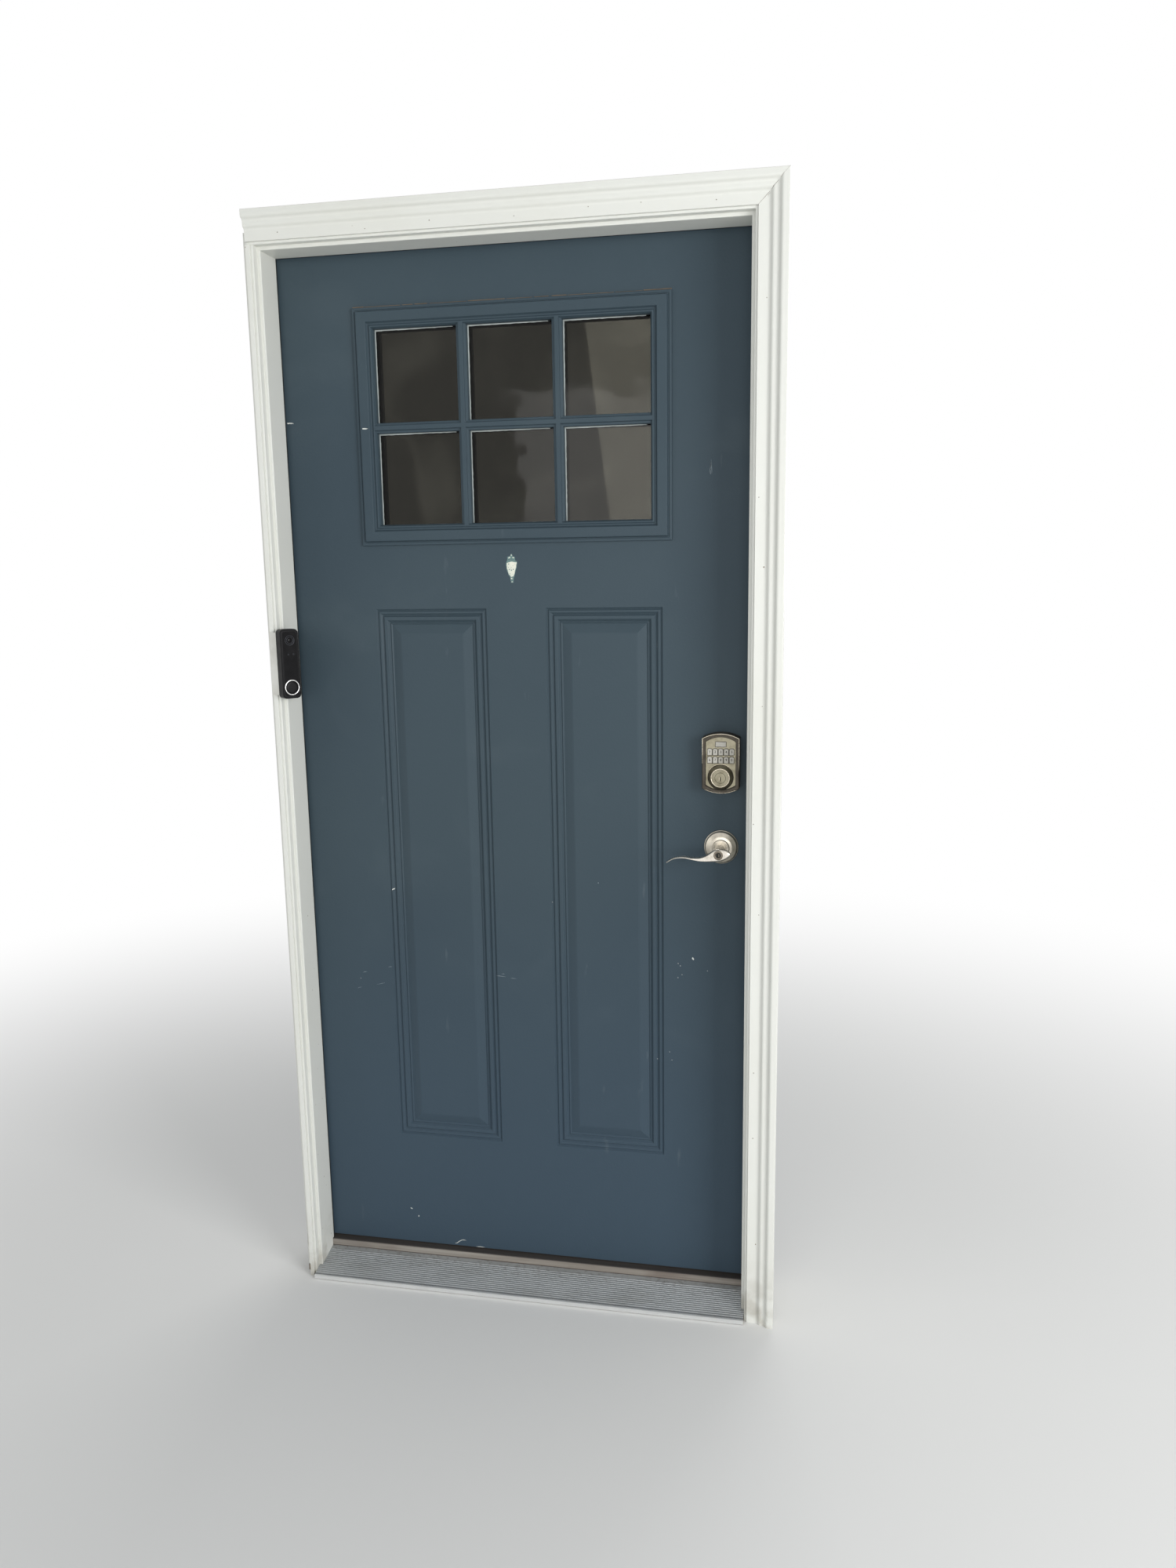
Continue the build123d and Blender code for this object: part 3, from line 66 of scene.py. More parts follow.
class Finish:
    """One shader, with layers of colour, roughness and relief built over it."""

    def __init__(self, name, colour, roughness, metallic=0.0, **sockets):
        self.material = bpy.data.materials.new(name)
        self.material.use_nodes = True
        self.tree = self.material.node_tree
        self.shader = self.tree.nodes["Principled BSDF"]
        self.place = self.tree.nodes.new("ShaderNodeTexCoord").outputs["Object"]
        self.colour = None
        self.flat = colour
        self.height = None
        self.shader.inputs["Base Color"].default_value = colour
        self.shader.inputs["Roughness"].default_value = roughness
        self.shader.inputs["Metallic"].default_value = metallic
        for socket, value in sockets.items():
            self.shader.inputs[socket.replace("_", " ")].default_value = value

    def add(self, kind, **settings):
        node = self.tree.nodes.new(kind)
        for key, value in settings.items():
            setattr(node, key, value)
        return node

    def join(self, start, end):
        self.tree.links.new(start, end)

    def stretched(self, stretch):
        if stretch == (1, 1, 1):
            return self.place
        node = self.add("ShaderNodeMapping")
        node.inputs["Scale"].default_value = stretch
        self.join(self.place, node.inputs["Vector"])
        return node.outputs["Vector"]

    def noise(self, scale, detail, stretch=(1, 1, 1), distortion=0.0):
        node = self.add("ShaderNodeTexNoise")
        node.inputs["Scale"].default_value = scale
        node.inputs["Detail"].default_value = detail
        node.inputs["Distortion"].default_value = distortion
        self.join(self.stretched(stretch), node.inputs["Vector"])
        return node.outputs["Fac"]

    def cells(self, scale):
        node = self.add("ShaderNodeTexVoronoi")
        node.inputs["Scale"].default_value = scale
        self.join(self.place, node.inputs["Vector"])
        return node.outputs["Distance"]

    def along(self, axis):
        node = self.add("ShaderNodeSeparateXYZ")
        self.join(self.place, node.inputs["Vector"])
        return node.outputs[axis]

    def span(self, value, low, high, to_low=0.0, to_high=1.0):
        """The value eased from one range into another."""
        node = self.add("ShaderNodeMapRange", interpolation_type="SMOOTHSTEP")
        node.inputs["From Min"].default_value = low
        node.inputs["From Max"].default_value = high
        node.inputs["To Min"].default_value = to_low
        node.inputs["To Max"].default_value = to_high
        self.join(value, node.inputs["Value"])
        return node.outputs["Result"]

    def patches(self, scale, detail, low, high, **settings):
        """A mask of uneven patches, crisper where low and high lie close."""
        return self.span(self.noise(scale, detail, **settings), low, high)

    def both(self, first, second):
        """Where both masks are; the second may be a plain share."""
        node = self.add("ShaderNodeMath", operation="MULTIPLY", use_clamp=True)
        self.join(first, node.inputs[0])
        if isinstance(second, float):
            node.inputs[1].default_value = second
        else:
            self.join(second, node.inputs[1])
        return node.outputs["Value"]

    def over(self, mask, colour, share=1.0):
        """Lays a share of a colour over what is there, where the mask is."""
        if share < 1.0:
            mask = self.both(mask, share)
        node = self.add("ShaderNodeMix", data_type="RGBA")
        if self.colour is None:
            node.inputs[6].default_value = self.flat
        else:
            self.join(self.colour, node.inputs[6])
        node.inputs[7].default_value = colour
        self.join(mask, node.inputs[0])
        self.colour = node.outputs[2]

    def rough(self, value, low, high):
        self.join(self.span(value, 0.0, 1.0, low, high), self.shader.inputs["Roughness"])

    def relief(self, value, depth):
        """Adds a height of that depth in millimetres."""
        node = self.add("ShaderNodeBump")
        node.inputs["Distance"].default_value = depth * MM
        self.join(value, node.inputs["Height"])
        if self.height is not None:
            self.join(self.height, node.inputs["Normal"])
        self.height = node.outputs["Normal"]

    def done(self):
        if self.colour is not None:
            self.join(self.colour, self.shader.inputs["Base Color"])
        if self.height is not None:
            self.join(self.height, self.shader.inputs["Normal"])
        return self.material


def door_paint(name):
    """Blue-grey paint, bluer towards the foot, with pale scuffs."""
    look = Finish(name, paint(61, 75, 83), 0.46, Specular_IOR_Level=0.18)
    look.over(look.patches(1.4, 4.0, 0.38, 0.68), paint(56, 70, 79))
    look.over(look.patches(5.0, 5.0, 0.52, 0.72, distortion=0.6), paint(70, 83, 90), 0.35)
    look.over(look.span(look.along(UP), BLUE_TOP, BLUE_FOOT), paint(61, 77, 91), 0.75)
    look.over(look.patches(34.0, 4.0, 0.70, 0.78, stretch=(1.0, 1.0, 0.22)), paint(108, 119, 124), 0.22)
    look.rough(look.noise(3.0, 4.0), 0.4, 0.56)
    look.relief(look.noise(210.0, 2.0), 0.22)
    look.relief(look.noise(760.0, 2.0), 0.06)
    return look.done()


def trim_paint(name, streak):
    """Off-white paint with brush streaks, dirty at the foot and flecked."""
    look = Finish(name, paint(222, 223, 217), 0.38, Specular_IOR_Level=0.35)
    look.over(look.patches(2.2, 5.0, 0.45, 0.75), paint(214, 214, 204), 0.5)
    dirt = look.both(look.span(look.along(UP), DIRT_TOP, 0.0), look.patches(26.0, 5.0, 0.38, 0.66))
    look.over(dirt, paint(158, 152, 138), 0.55)
    flecks = look.both(look.span(look.cells(38.0), 0.055, 0.035), look.patches(7.0, 2.0, 0.55, 0.7))
    look.over(flecks, paint(176, 171, 158))
    look.rough(look.noise(9.0, 3.0), 0.32, 0.48)
    look.relief(look.noise(240.0, 3.0, stretch=streak), 0.1)
    look.relief(look.noise(60.0, 3.0, stretch=streak), 0.18)
    return look.done()


def worn_metal(name, colour, dark, roughness, metallic=1.0, grain=(1, 1, 1)):
    """Metal with a finer grain along the stretch, and darker where it is tarnished."""
    look = Finish(name, colour, roughness, metallic)
    look.over(look.patches(55.0, 5.0, 0.42, 0.72), dark, 0.75)
    look.over(look.patches(420.0, 3.0, 0.55, 0.72), dark, 0.35)
    look.rough(look.noise(150.0, 4.0, stretch=grain), roughness - 0.07, roughness + 0.11)
    look.relief(look.noise(1500.0, 2.0, stretch=grain), 0.03)
    return look.done()


def sill_metal(name):
    """Dull aluminium with grit between its ribs, painted shade in its last groove and a painted highlight along
    its nose.
    """
    look = Finish(name, paint(168, 171, 172), 0.44, 0.55)
    depth = look.along(DEEP)
    sheltered = look.span(depth, 0.0, 0.05, 0.3, 0.75)
    look.over(look.patches(7.0, 5.0, 0.45, 0.75, stretch=(1.0, 3.0, 1.0)), paint(140, 141, 138), 0.4)
    grit = look.both(look.patches(210.0, 4.0, 0.5, 0.66, stretch=(0.6, 1.0, 1.0)), sheltered)
    look.over(grit, paint(104, 100, 92), 0.5)
    specks = look.both(look.span(look.cells(150.0), 0.13, 0.07), look.patches(12.0, 3.0, 0.52, 0.66))
    look.over(specks, paint(66, 60, 52), 0.6)
    # The last groove darkened: painted shade.
    last_groove_shade = look.both(look.span(depth, *GROOVE_BACK), look.span(depth, *GROOVE_FRONT))
    look.over(last_groove_shade, paint(70, 72, 74), 0.7)
    # The nose lightened: a painted highlight.
    look.over(look.span(depth, *NOSE_HIGHLIGHT), paint(222, 223, 222), 0.9)
    look.rough(look.noise(36.0, 5.0), 0.3, 0.58)
    look.relief(look.noise(480.0, 4.0), 0.1)
    return look.done()


def weathered_riser(name):
    """Grey-brown wood with a long grain, shaded at its foot and on its top."""
    look = Finish(name, paint(130, 123, 114), 0.66)
    grain = look.noise(70.0, 5.0, stretch=(0.03, 1.0, 1.0), distortion=0.3)
    look.over(look.span(grain, 0.46, 0.66), paint(157, 151, 142), 0.8)
    look.over(look.patches(130.0, 4.0, 0.55, 0.72, stretch=(0.05, 1.0, 1.0)), paint(86, 74, 64), 0.7)
    look.over(look.patches(6.0, 4.0, 0.5, 0.7, stretch=(1.0, 1.0, 2.0)), paint(98, 84, 76), 0.5)
    look.over(look.patches(2.2, 3.0, 0.4, 0.62), paint(170, 167, 160), 0.45)
    look.over(look.span(look.along(UP), *RISER_FOOT), paint(58, 48, 42))
    look.over(look.span(look.along(UP), *RISER_TOP), paint(40, 36, 34), 0.94)
    look.relief(grain, 0.5)
    return look.done()


def moulded(name, colour, tint, roughness, grain=620.0, depth=0.04, **sockets):
    """Plastic, rubber, foam or dried paint, clouded with a tint."""
    look = Finish(name, colour, roughness, **sockets)
    look.over(look.patches(22.0, 5.0, 0.42, 0.72), tint, 0.7)
    look.rough(look.noise(70.0, 4.0), roughness - 0.06, roughness + 0.12)
    look.relief(look.noise(grain, 2.0), depth)
    return look.done()


def timber(name):
    look = Finish(name, paint(196, 160, 112), 0.62)
    rings = look.patches(46.0, 5.0, 0.42, 0.62, stretch=(1.0, 1.0, 0.06), distortion=0.8)
    look.over(rings, paint(158, 118, 74), 0.8)
    look.relief(look.noise(190.0, 4.0, stretch=(1.0, 1.0, 0.05)), 0.3)
    return look.done()


def pane_glass(name):
    """Dusky glass with faint smears."""
    look = Finish(name, (0.14, 0.137, 0.122, 1.0), 0.02, Transmission_Weight=1.0, IOR=1.25)
    look.over(look.patches(7.0, 5.0, 0.5, 0.72, distortion=0.7), (0.24, 0.236, 0.212, 1.0), 0.5)
    look.rough(look.noise(18.0, 4.0), 0.0, 0.09)
    look.relief(look.noise(6.0, 2.0), 1.6)
    return look.done()


nickel = worn_metal("satin_nickel", paint(224, 218, 208), paint(188, 181, 168), 0.25, grain=(0.3, 1.0, 1.0))
antique = worn_metal("antique_nickel", paint(142, 137, 118), paint(104, 98, 80), 0.4, 0.9)
bronze = worn_metal("dark_bronze", paint(78, 73, 65), paint(54, 50, 44), 0.52, 0.8)
aged_nickel = worn_metal("aged_nickel", paint(194, 188, 175), paint(150, 143, 129), 0.3, 0.95)
level_paint = trim_paint("trim_paint_level", LEVEL_STREAK)
looks = {
    "foam": moulded("rigid_foam", paint(226, 214, 176), paint(210, 194, 150), 0.8, 300.0, 0.5),
    "wood": timber("softwood"),
    "riser": weathered_riser("weathered_riser"),
    "seal": moulded("black_seal", paint(34, 34, 34), paint(22, 22, 22), 0.62, 420.0, 0.12),
    "sweep": moulded("black_sweep", paint(34, 30, 27), paint(20, 18, 16), 0.6, 420.0, 0.12),
    "bell_black": moulded("bell_satin_black", paint(19, 19, 21), paint(14, 14, 16), 0.36, 900.0, 0.03,
                          Specular_IOR_Level=0.12),
    "bell_lens": moulded("bell_lens_gloss", paint(10, 10, 12), paint(16, 16, 20), 0.1, 300.0, 0.01,
                         Specular_IOR_Level=0.15),
    "bell_button": moulded("bell_button_black", paint(16, 16, 18), paint(11, 11, 13), 0.28, 900.0, 0.02,
                           Specular_IOR_Level=0.15),
    "key_rubber": moulded("key_face", paint(188, 185, 176), paint(160, 156, 146), 0.5, 700.0),
    "cell": moulded("battery_jacket", paint(70, 74, 80), paint(54, 56, 60), 0.4),
    "base": moulded("sill_composite", paint(112, 102, 86), paint(84, 76, 62), 0.7, 240.0, 0.3),
    "vinyl_white": moulded("corner_wedge_white", paint(214, 214, 208), paint(192, 190, 182), 0.36, 500.0, 0.05),
    "trim_paint": trim_paint("trim_paint_upright", UPRIGHT_STREAK),
    "slab_paint": door_paint("door_paint"),
    "lite_paint": door_paint("window_frame_paint"),
    "aluminium": sill_metal("weathered_aluminium"),
    "glass": pane_glass("pane_glass"),
    "hinge_steel": worn_metal("hinge_metal", paint(188, 180, 164), paint(146, 138, 122), 0.3,
                              grain=(1.0, 1.0, 0.2)),
    "nickel": nickel,
    "nickel_dark": antique,
    "bolt_brass": worn_metal("bolt_brass", paint(196, 168, 104), paint(150, 122, 70), 0.28),
    "screw_steel": worn_metal("zinc_screws", paint(186, 186, 182), paint(140, 138, 130), 0.3),
}
by_node = {
    "jamb_head": level_paint,
    "casing_head": level_paint,
    "glass_spacer": worn_metal("spacer_metal", paint(190, 190, 188), paint(150, 150, 146), 0.4),
    "keypad_housing": bronze,
    "deadbolt_inside_cover": bronze,
    "deadbolt_plug": antique,
    "thumbturn": nickel,
    "rose_outside": aged_nickel,
    "rose_inside": aged_nickel,
}
for part in frame["record"]["subparts"]:
    node = nodes[part["node"]]
    look = by_node.get(part["node"], looks[part["material_slot"]])
    for place in node.material_slots:
        place.material = look


# How the small pieces are made, in millimetres on a seat
ROUND_STEPS, CORNER_STEPS, BLOT_STEPS = 2, 8, 11
TIP_SHARE, TIP_POINTS = 0.25, 3.0
STROKE_TIP, STROKE_UNEVEN = 0.18, 0.2
WELD = 0.001


def seat_at(origin, across, up):
    """A seat's matrix: u runs across, v runs up and w stands off the surface."""
    across, up = Vector(across).normalized(), Vector(up).normalized()
    columns = (across, up, across.cross(up), Vector(origin) * MM)
    return Matrix([[column[row] for column in columns] for row in range(3)] + [[0, 0, 0, 1]])


def add_piece(name, mesh, look, body):
    mesh.materials.clear()
    mesh.materials.append(look)
    piece = bpy.data.objects.new(name, mesh)
    bpy.context.scene.collection.objects.link(piece)
    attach(piece, body)


def as_mesh(name, curve):
    shape = bpy.data.objects.new(name, curve)
    bpy.context.scene.collection.objects.link(shape)
    mesh = bpy.data.meshes.new_from_object(shape)
    mesh.name = name
    bpy.data.objects.remove(shape)
    return mesh


def plate(name, loops, lift, thickness, seat, look, body, edge=0.0):
    """A thin filled plate from closed outlines; an outline inside another is a hole."""
    curve = bpy.data.curves.new(name, "CURVE")
    curve.dimensions = "2D"
    curve.fill_mode = "BOTH"
    curve.extrude = (thickness / 2 - edge) * MM
    curve.bevel_depth = edge * MM
    curve.bevel_resolution = ROUND_STEPS
    curve.offset = -edge * MM
    for loop in loops:
        spline = curve.splines.new("POLY")
        spline.points.add(len(loop) - 1)
        for point, (u, v) in zip(spline.points, loop):
            point.co = (u * MM, v * MM, 0.0, 1.0)
        spline.use_cyclic_u = True
    mesh = as_mesh(name, curve)
    mesh.transform(seat @ Matrix.Translation((0, 0, (lift + thickness / 2) * MM)))
    add_piece(name, mesh, look, body)


def wire(name, points, radius, seat, look, body):
    """A thin round line through points (u, v, w), thinner at its ends."""
    curve = bpy.data.curves.new(name, "CURVE")
    curve.dimensions = "3D"
    curve.bevel_depth = radius * MM
    curve.bevel_resolution = ROUND_STEPS
    spline = curve.splines.new("POLY")
    spline.points.add(len(points) - 1)
    for number, (u, v, w) in enumerate(points):
        spline.points[number].co = (u * MM, v * MM, w * MM, 1.0)
        from_end = min(number, len(points) - 1 - number)
        spline.points[number].radius = min(1.0, TIP_SHARE + from_end / TIP_POINTS)
    mesh = as_mesh(name, curve)
    mesh.transform(seat)
    mesh.shade_smooth()
    add_piece(name, mesh, look, body)


def lathe(name, profile, centre, seat, look, body, turn=(0.0, 360.0), steps=96):
    """A ring turned about the seat's w axis from a closed profile of (radius, height)."""
    start, stop = (math.radians(angle) for angle in turn)
    whole = turn[1] - turn[0] >= 360.0
    shape = bmesh.new()
    rings = []
    for number in range(steps if whole else steps + 1):
        angle = start + (stop - start) * number / steps
        ring = []
        for radius, height in profile:
            place = (centre[0] + radius * math.cos(angle), centre[1] + radius * math.sin(angle), height)
            ring.append(shape.verts.new(Vector(place) * MM))
        rings.append(ring)
    pairs = list(zip(rings, rings[1:])) + ([(rings[-1], rings[0])] if whole else [])
    for near, far in pairs:
        for index in range(len(profile)):
            after = (index + 1) % len(profile)
            shape.faces.new((near[index], far[index], far[after], near[after]))
    if not whole:
        shape.faces.new(rings[0])
        shape.faces.new(rings[-1])
    bmesh.ops.remove_doubles(shape, verts=shape.verts, dist=WELD * MM)
    bmesh.ops.recalc_face_normals(shape, faces=shape.faces)
    mesh = bpy.data.meshes.new(name)
    shape.to_mesh(mesh)
    shape.free()
    mesh.transform(seat)
    mesh.shade_smooth()
    add_piece(name, mesh, look, body)


def circle(radius, centre=(0.0, 0.0), steps=64):
    angles = [2 * math.pi * number / steps for number in range(steps)]
    return [(centre[0] + radius * math.cos(a), centre[1] + radius * math.sin(a)) for a in angles]


def rounded(width, height, radius, centre=(0.0, 0.0)):
    loop = []
    for corner, (side, end) in enumerate(((1, 1), (-1, 1), (-1, -1), (1, -1))):
        for number in range(CORNER_STEPS + 1):
            angle = math.pi / 2 * (corner + number / CORNER_STEPS)
            loop.append((centre[0] + side * (width / 2 - radius) + radius * math.cos(angle),
                         centre[1] + end * (height / 2 - radius) + radius * math.sin(angle)))
    return loop


def strip(low_u, high_u, low_v, high_v):
    return [(low_u, low_v), (high_u, low_v), (high_u, high_v), (low_u, high_v)]


def ragged(loop, amount, step):
    """The outline broken up into an uneven edge."""
    out = []
    for (u0, v0), (u1, v1) in zip(loop, loop[1:] + loop[:1]):
        count = max(1, round(math.hypot(u1 - u0, v1 - v0) / step))
        for number in range(count):
            share = number / count
            out.append((u0 + (u1 - u0) * share + rng.uniform(-amount, amount),
                        v0 + (v1 - v0) * share + rng.uniform(-amount, amount)))
    return out


def blot(centre, width, height, uneven=0.25):
    """An uneven spot."""
    loop = []
    for number in range(BLOT_STEPS):
        angle = 2 * math.pi * number / BLOT_STEPS
        reach = 1.0 + rng.uniform(-uneven, uneven)
        loop.append((centre[0] + width / 2 * reach * math.cos(angle),
                     centre[1] + height / 2 * reach * math.sin(angle)))
    return loop


def stroke(points, width):
    """An outline along a line, pointed at both ends."""
    left, right = [], []
    for number, (u, v) in enumerate(points):
        before, after = points[max(number - 1, 0)], points[min(number + 1, len(points) - 1)]
        along = Vector((after[0] - before[0], after[1] - before[1])).normalized()
        at_end = number in (0, len(points) - 1)
        half = width / 2 * (STROKE_TIP if at_end else 1.0) * (1.0 + rng.uniform(-STROKE_UNEVEN, STROKE_UNEVEN))
        left.append((u - along.y * half, v + along.x * half))
        right.append((u + along.y * half, v - along.x * half))
    return left + right[::-1]


# Where the door's main faces and edges are
FACE_Y, BACK_Y, SLAB_X = 71.5, 115.95, 454.0
CASING_X, CASING_Z, CASING_FLAT = 450.875, 2055.8, 19.0
BORE_X, BOLT_Z, LEVER_Z = 393.725, 1083.0, 943.3
LITE_Z, LITE_W, LITE_H, LITE_RIM, LITE_BED = 1738.0, 601.0, 435.0, 10.0, -9.5
FRONT = seat_at((0, FACE_Y, 0), (1, 0, 0), (0, 0, 1))
LINE = 0.06

chip_white = moulded("chipped_primer", paint(214, 216, 210), paint(176, 184, 184), 0.62)
dust_pale = moulded("pale_scuff", paint(138, 149, 154), paint(104, 117, 124), 0.7)
grime = moulded("brown_grime", paint(112, 98, 80), paint(74, 62, 48), 0.8)
# Near-black for painted shade at the roses' rims and in the keyway, and for the dark core of the lever's plug.
near_black_shade = moulded("painted_shade_near_black", paint(40, 38, 34), paint(24, 22, 20), 0.8)
primer_edge = moulded("teal_undercoat", paint(104, 132, 128), paint(80, 108, 110), 0.6)
residue_green = moulded("adhesive_residue", paint(226, 226, 212), paint(186, 198, 186), 0.72, 200.0, 0.2)
ink = moulded("key_ink", paint(52, 50, 46), paint(36, 34, 32), 0.5)
# Dark bronze for painted shade in the gaps round the keys, at the rim, round the guard's foot and round the
# cylinder.
bronze_gap_shade = worn_metal("painted_shade_bronze", paint(58, 54, 46), paint(38, 34, 28), 0.5, 0.6)
# Pale metal for worn edges and for painted highlights and glints.
wear_and_highlight = worn_metal("worn_edge_and_painted_highlight", paint(232, 222, 202), paint(196, 184, 160), 0.24)
plug_metal = worn_metal("plug_metal", paint(122, 114, 104), paint(82, 74, 66), 0.42, 0.8)
silver = worn_metal("bright_ring", paint(206, 206, 204), paint(170, 170, 170), 0.22)
gloss = moulded("bell_gloss_panel", paint(9, 9, 11), paint(14, 14, 17), 0.1, 200.0, 0.01, Specular_IOR_Level=0.16)
lens_grey = worn_metal("lens_ring", paint(58, 60, 65), paint(38, 39, 43), 0.34, 0.6)
# Bare vinyl, greyed as painted shade.
vinyl = moulded("vinyl_in_painted_shade", paint(182, 189, 186), paint(138, 145, 142), 0.5)
seam_grey = moulded("seam_shadow", paint(146, 143, 135), paint(112, 108, 100), 0.7)

# Doorbell
BELL_W, BELL_T, BELL_Z, BELL_TURN = 37.0, 20.0, 1299.8, math.radians(50.0)
BELL_CORNER = Vector((-449.4, -25.0, BELL_Z))
bell_across = Vector((math.cos(BELL_TURN), math.sin(BELL_TURN), 0.0))
bell_out = Vector((bell_across.y, -bell_across.x, 0.0))
BELL = seat_at(BELL_CORNER + bell_across * (BELL_W / 2) + bell_out * BELL_T, bell_across, (0, 0, 1))
BUTTON, LENS, PORT_V = (0.0, -45.0), (0.0, 45.0), 18.4
plate("bell_panel", [rounded(28.0, 123.0, 5.0), circle(16.2, BUTTON, 96), circle(9.9, LENS)], 0.0, 0.3, BELL,
      gloss, "frame", edge=0.08)
lathe("bell_button_ring", [(14.95, 0.2), (14.95, 0.8), (14.6, 1.02), (13.1, 1.02), (12.8, 0.85), (12.8, 0.2)],
      BUTTON, BELL, silver, "doorbell_button")
lathe("bell_button_dome", [(0.0, 0.7), (12.6, 0.7), (12.6, 0.88), (9.0, 1.0), (0.0, 1.06)], BUTTON, BELL,
      looks["bell_button"], "doorbell_button")
lathe("bell_lens_rim", [(9.7, 0.2), (9.7, 0.62), (9.2, 0.78), (8.6, 0.7), (8.6, 0.2)], LENS, BELL, lens_grey,
      "frame")
lathe("bell_lens_step", [(6.6, 0.3), (6.6, 0.72), (6.1, 0.8), (5.7, 0.7), (5.7, 0.3)], LENS, BELL, lens_grey,
      "frame")
lathe("bell_lens_eye", [(0.0, 0.4), (3.6, 0.4), (3.5, 0.62), (3.1, 0.84), (2.4, 1.0), (1.4, 1.1), (0.0, 1.13)],
      LENS, BELL, gloss, "frame")
for number, port_u in enumerate((-4.0, 6.4)):
    lathe(f"bell_port_{number}", [(1.6, 0.2), (1.6, 0.42), (1.2, 0.48), (0.8, 0.38), (0.8, 0.2)],
          (port_u, PORT_V), BELL, lens_grey, "frame", steps=32)

# Keypad
PAD = seat_at((BORE_X, FACE_Y, BOLT_Z), (1, 0, 0), (0, 0, 1))
PAD_W, PAD_LOW, PAD_HIGH, PAD_RISE, PAD_D = 69.8, -21.6, 73.9, 9.0, 28.0
PLATE_LIFT, KEY_LIFT, GUARD_LIFT, PLUG_LIFT, GLINT_LIFT = 25.0, 26.0, 34.0, 32.4, 34.3
ARCH_STEPS, SIDE_STEPS = 24, 8


def arch_loop(inset):
    """The keypad's outline from its lower left corner, over the top and back."""
    half, low, high = PAD_W / 2 - inset, PAD_LOW + inset, PAD_HIGH - inset
    radius = (half * half + PAD_RISE * PAD_RISE) / (2 * PAD_RISE)
    reach = math.asin(half / radius)
    crown = high + PAD_RISE - radius
    angles = [reach * (2 * number / ARCH_STEPS - 1) for number in range(ARCH_STEPS + 1)]
    over = [(radius * math.sin(angle), crown + radius * math.cos(angle)) for angle in angles]
    under = [(u, low + high - v) for u, v in reversed(over)]
    sides = [(-half, low + (high - low) * number / SIDE_STEPS) for number in range(1, SIDE_STEPS)]
    return sides + over + [(-u, v) for u, v in reversed(sides)] + under


KEY_W, KEY_H, KEY_SHOULDER, KEY_CUT = 8.3, 12.0, 4.0, 1.2
KEY_PITCH, ROW_PITCH, LOW_ROW_V = 10.25, 15.2, 32.9
KEY_ARCH_STEPS = 14


def key_loop(u, v, grow):
    """A key's outline, arched at its top and cut at its lower corners."""
    half, low, shoulder = KEY_W / 2 + grow, v - KEY_H / 2 - grow, v + KEY_SHOULDER
    rise = v + KEY_H / 2 + grow - shoulder
    angles = [math.pi * number / KEY_ARCH_STEPS for number in range(KEY_ARCH_STEPS + 1)]
    arch = [(u + half * math.cos(angle), shoulder + rise * math.sin(angle)) for angle in angles]
    return arch + [(u - half, low + KEY_CUT), (u - half + 1.0, low),
                   (u + half - 1.0, low), (u + half, low + KEY_CUT)]


DIGIT_H, DIGIT_T, DIGIT_BOLD = 6.4, 0.06, 0.11


def digit_mark(digit, u, v):
    name = f"digit_{digit}"
    curve = bpy.data.curves.new(name, "FONT")
    curve.body = str(digit)
    curve.size = DIGIT_H * MM
    curve.align_x = "CENTER"
    curve.align_y = "CENTER"
    curve.extrude = DIGIT_T / 2 * MM
    curve.offset = DIGIT_BOLD * MM
    mesh = as_mesh(name, curve)
    mesh.transform(PAD @ Matrix.Translation((u * MM, v * MM, (KEY_LIFT + DIGIT_T / 2) * MM)))
    add_piece(name, mesh, ink, f"key_{digit}")


key_outlines = []
for number in range(10):
    row, column = divmod(number, 5)
    key_u, key_v = (column - 2) * KEY_PITCH, LOW_ROW_V + (1 - row) * ROW_PITCH
    key_outlines += [key_loop(key_u, key_v, 0.98), key_loop(key_u, key_v, 0.1)]
    digit_mark((number + 1) % 10, key_u, key_v)
WIDE_KEY = (0.0, 62.5)
key_outlines += [rounded(21.2, 10.8, 1.4, WIDE_KEY), rounded(19.6, 9.2, 0.6, WIDE_KEY)]
# Dark rings round the keys: painted shade in the gaps.
plate("key_outlines", key_outlines, PLATE_LIFT, 0.1, PAD, bronze_gap_shade, "door")
plate("pad_rim_shadow", [arch_loop(6.1), arch_loop(7.2)], PLATE_LIFT, 0.1, PAD, bronze_gap_shade, "door")
# Bright lines along the housing's rim: worn edges and painted highlights.
rim = [(u, v, PAD_D - 0.75) for u, v in arch_loop(0.8)]
wire("pad_rim_top", rim[3:37], 0.62, PAD, wear_and_highlight, "door")
wire("pad_rim_low", rim[40:64], 0.35, PAD, wear_and_highlight, "door")
lathe("guard_skirt", [(22.9, PLATE_LIFT), (22.9, 25.7), (22.4, 26.1), (17.95, 33.1), (17.4, 33.1),
                      (17.4, PLATE_LIFT)], (0, 0), PAD, bronze, "door")
# A bright ring on the guard's top edge: a painted highlight.
lathe("guard_edge", [(17.9, 33.0), (17.9, 33.6), (17.2, 34.15), (16.6, 34.1), (16.6, 33.0)], (0, 0), PAD,
      wear_and_highlight, "door")
# A dark ring round the guard's foot: painted shade.
lathe("guard_foot", [(24.4, PLATE_LIFT), (24.3, 25.25), (23.1, 25.25), (23.1, PLATE_LIFT)], (0, 0), PAD,
      bronze_gap_shade, "door")
lathe("guard_glint", [(25.2, PLATE_LIFT), (25.1, 25.5), (24.5, 25.6), (24.4, PLATE_LIFT)], (0, 0), PAD,
      wear_and_highlight, "door", turn=(32.0, 152.0), steps=40)
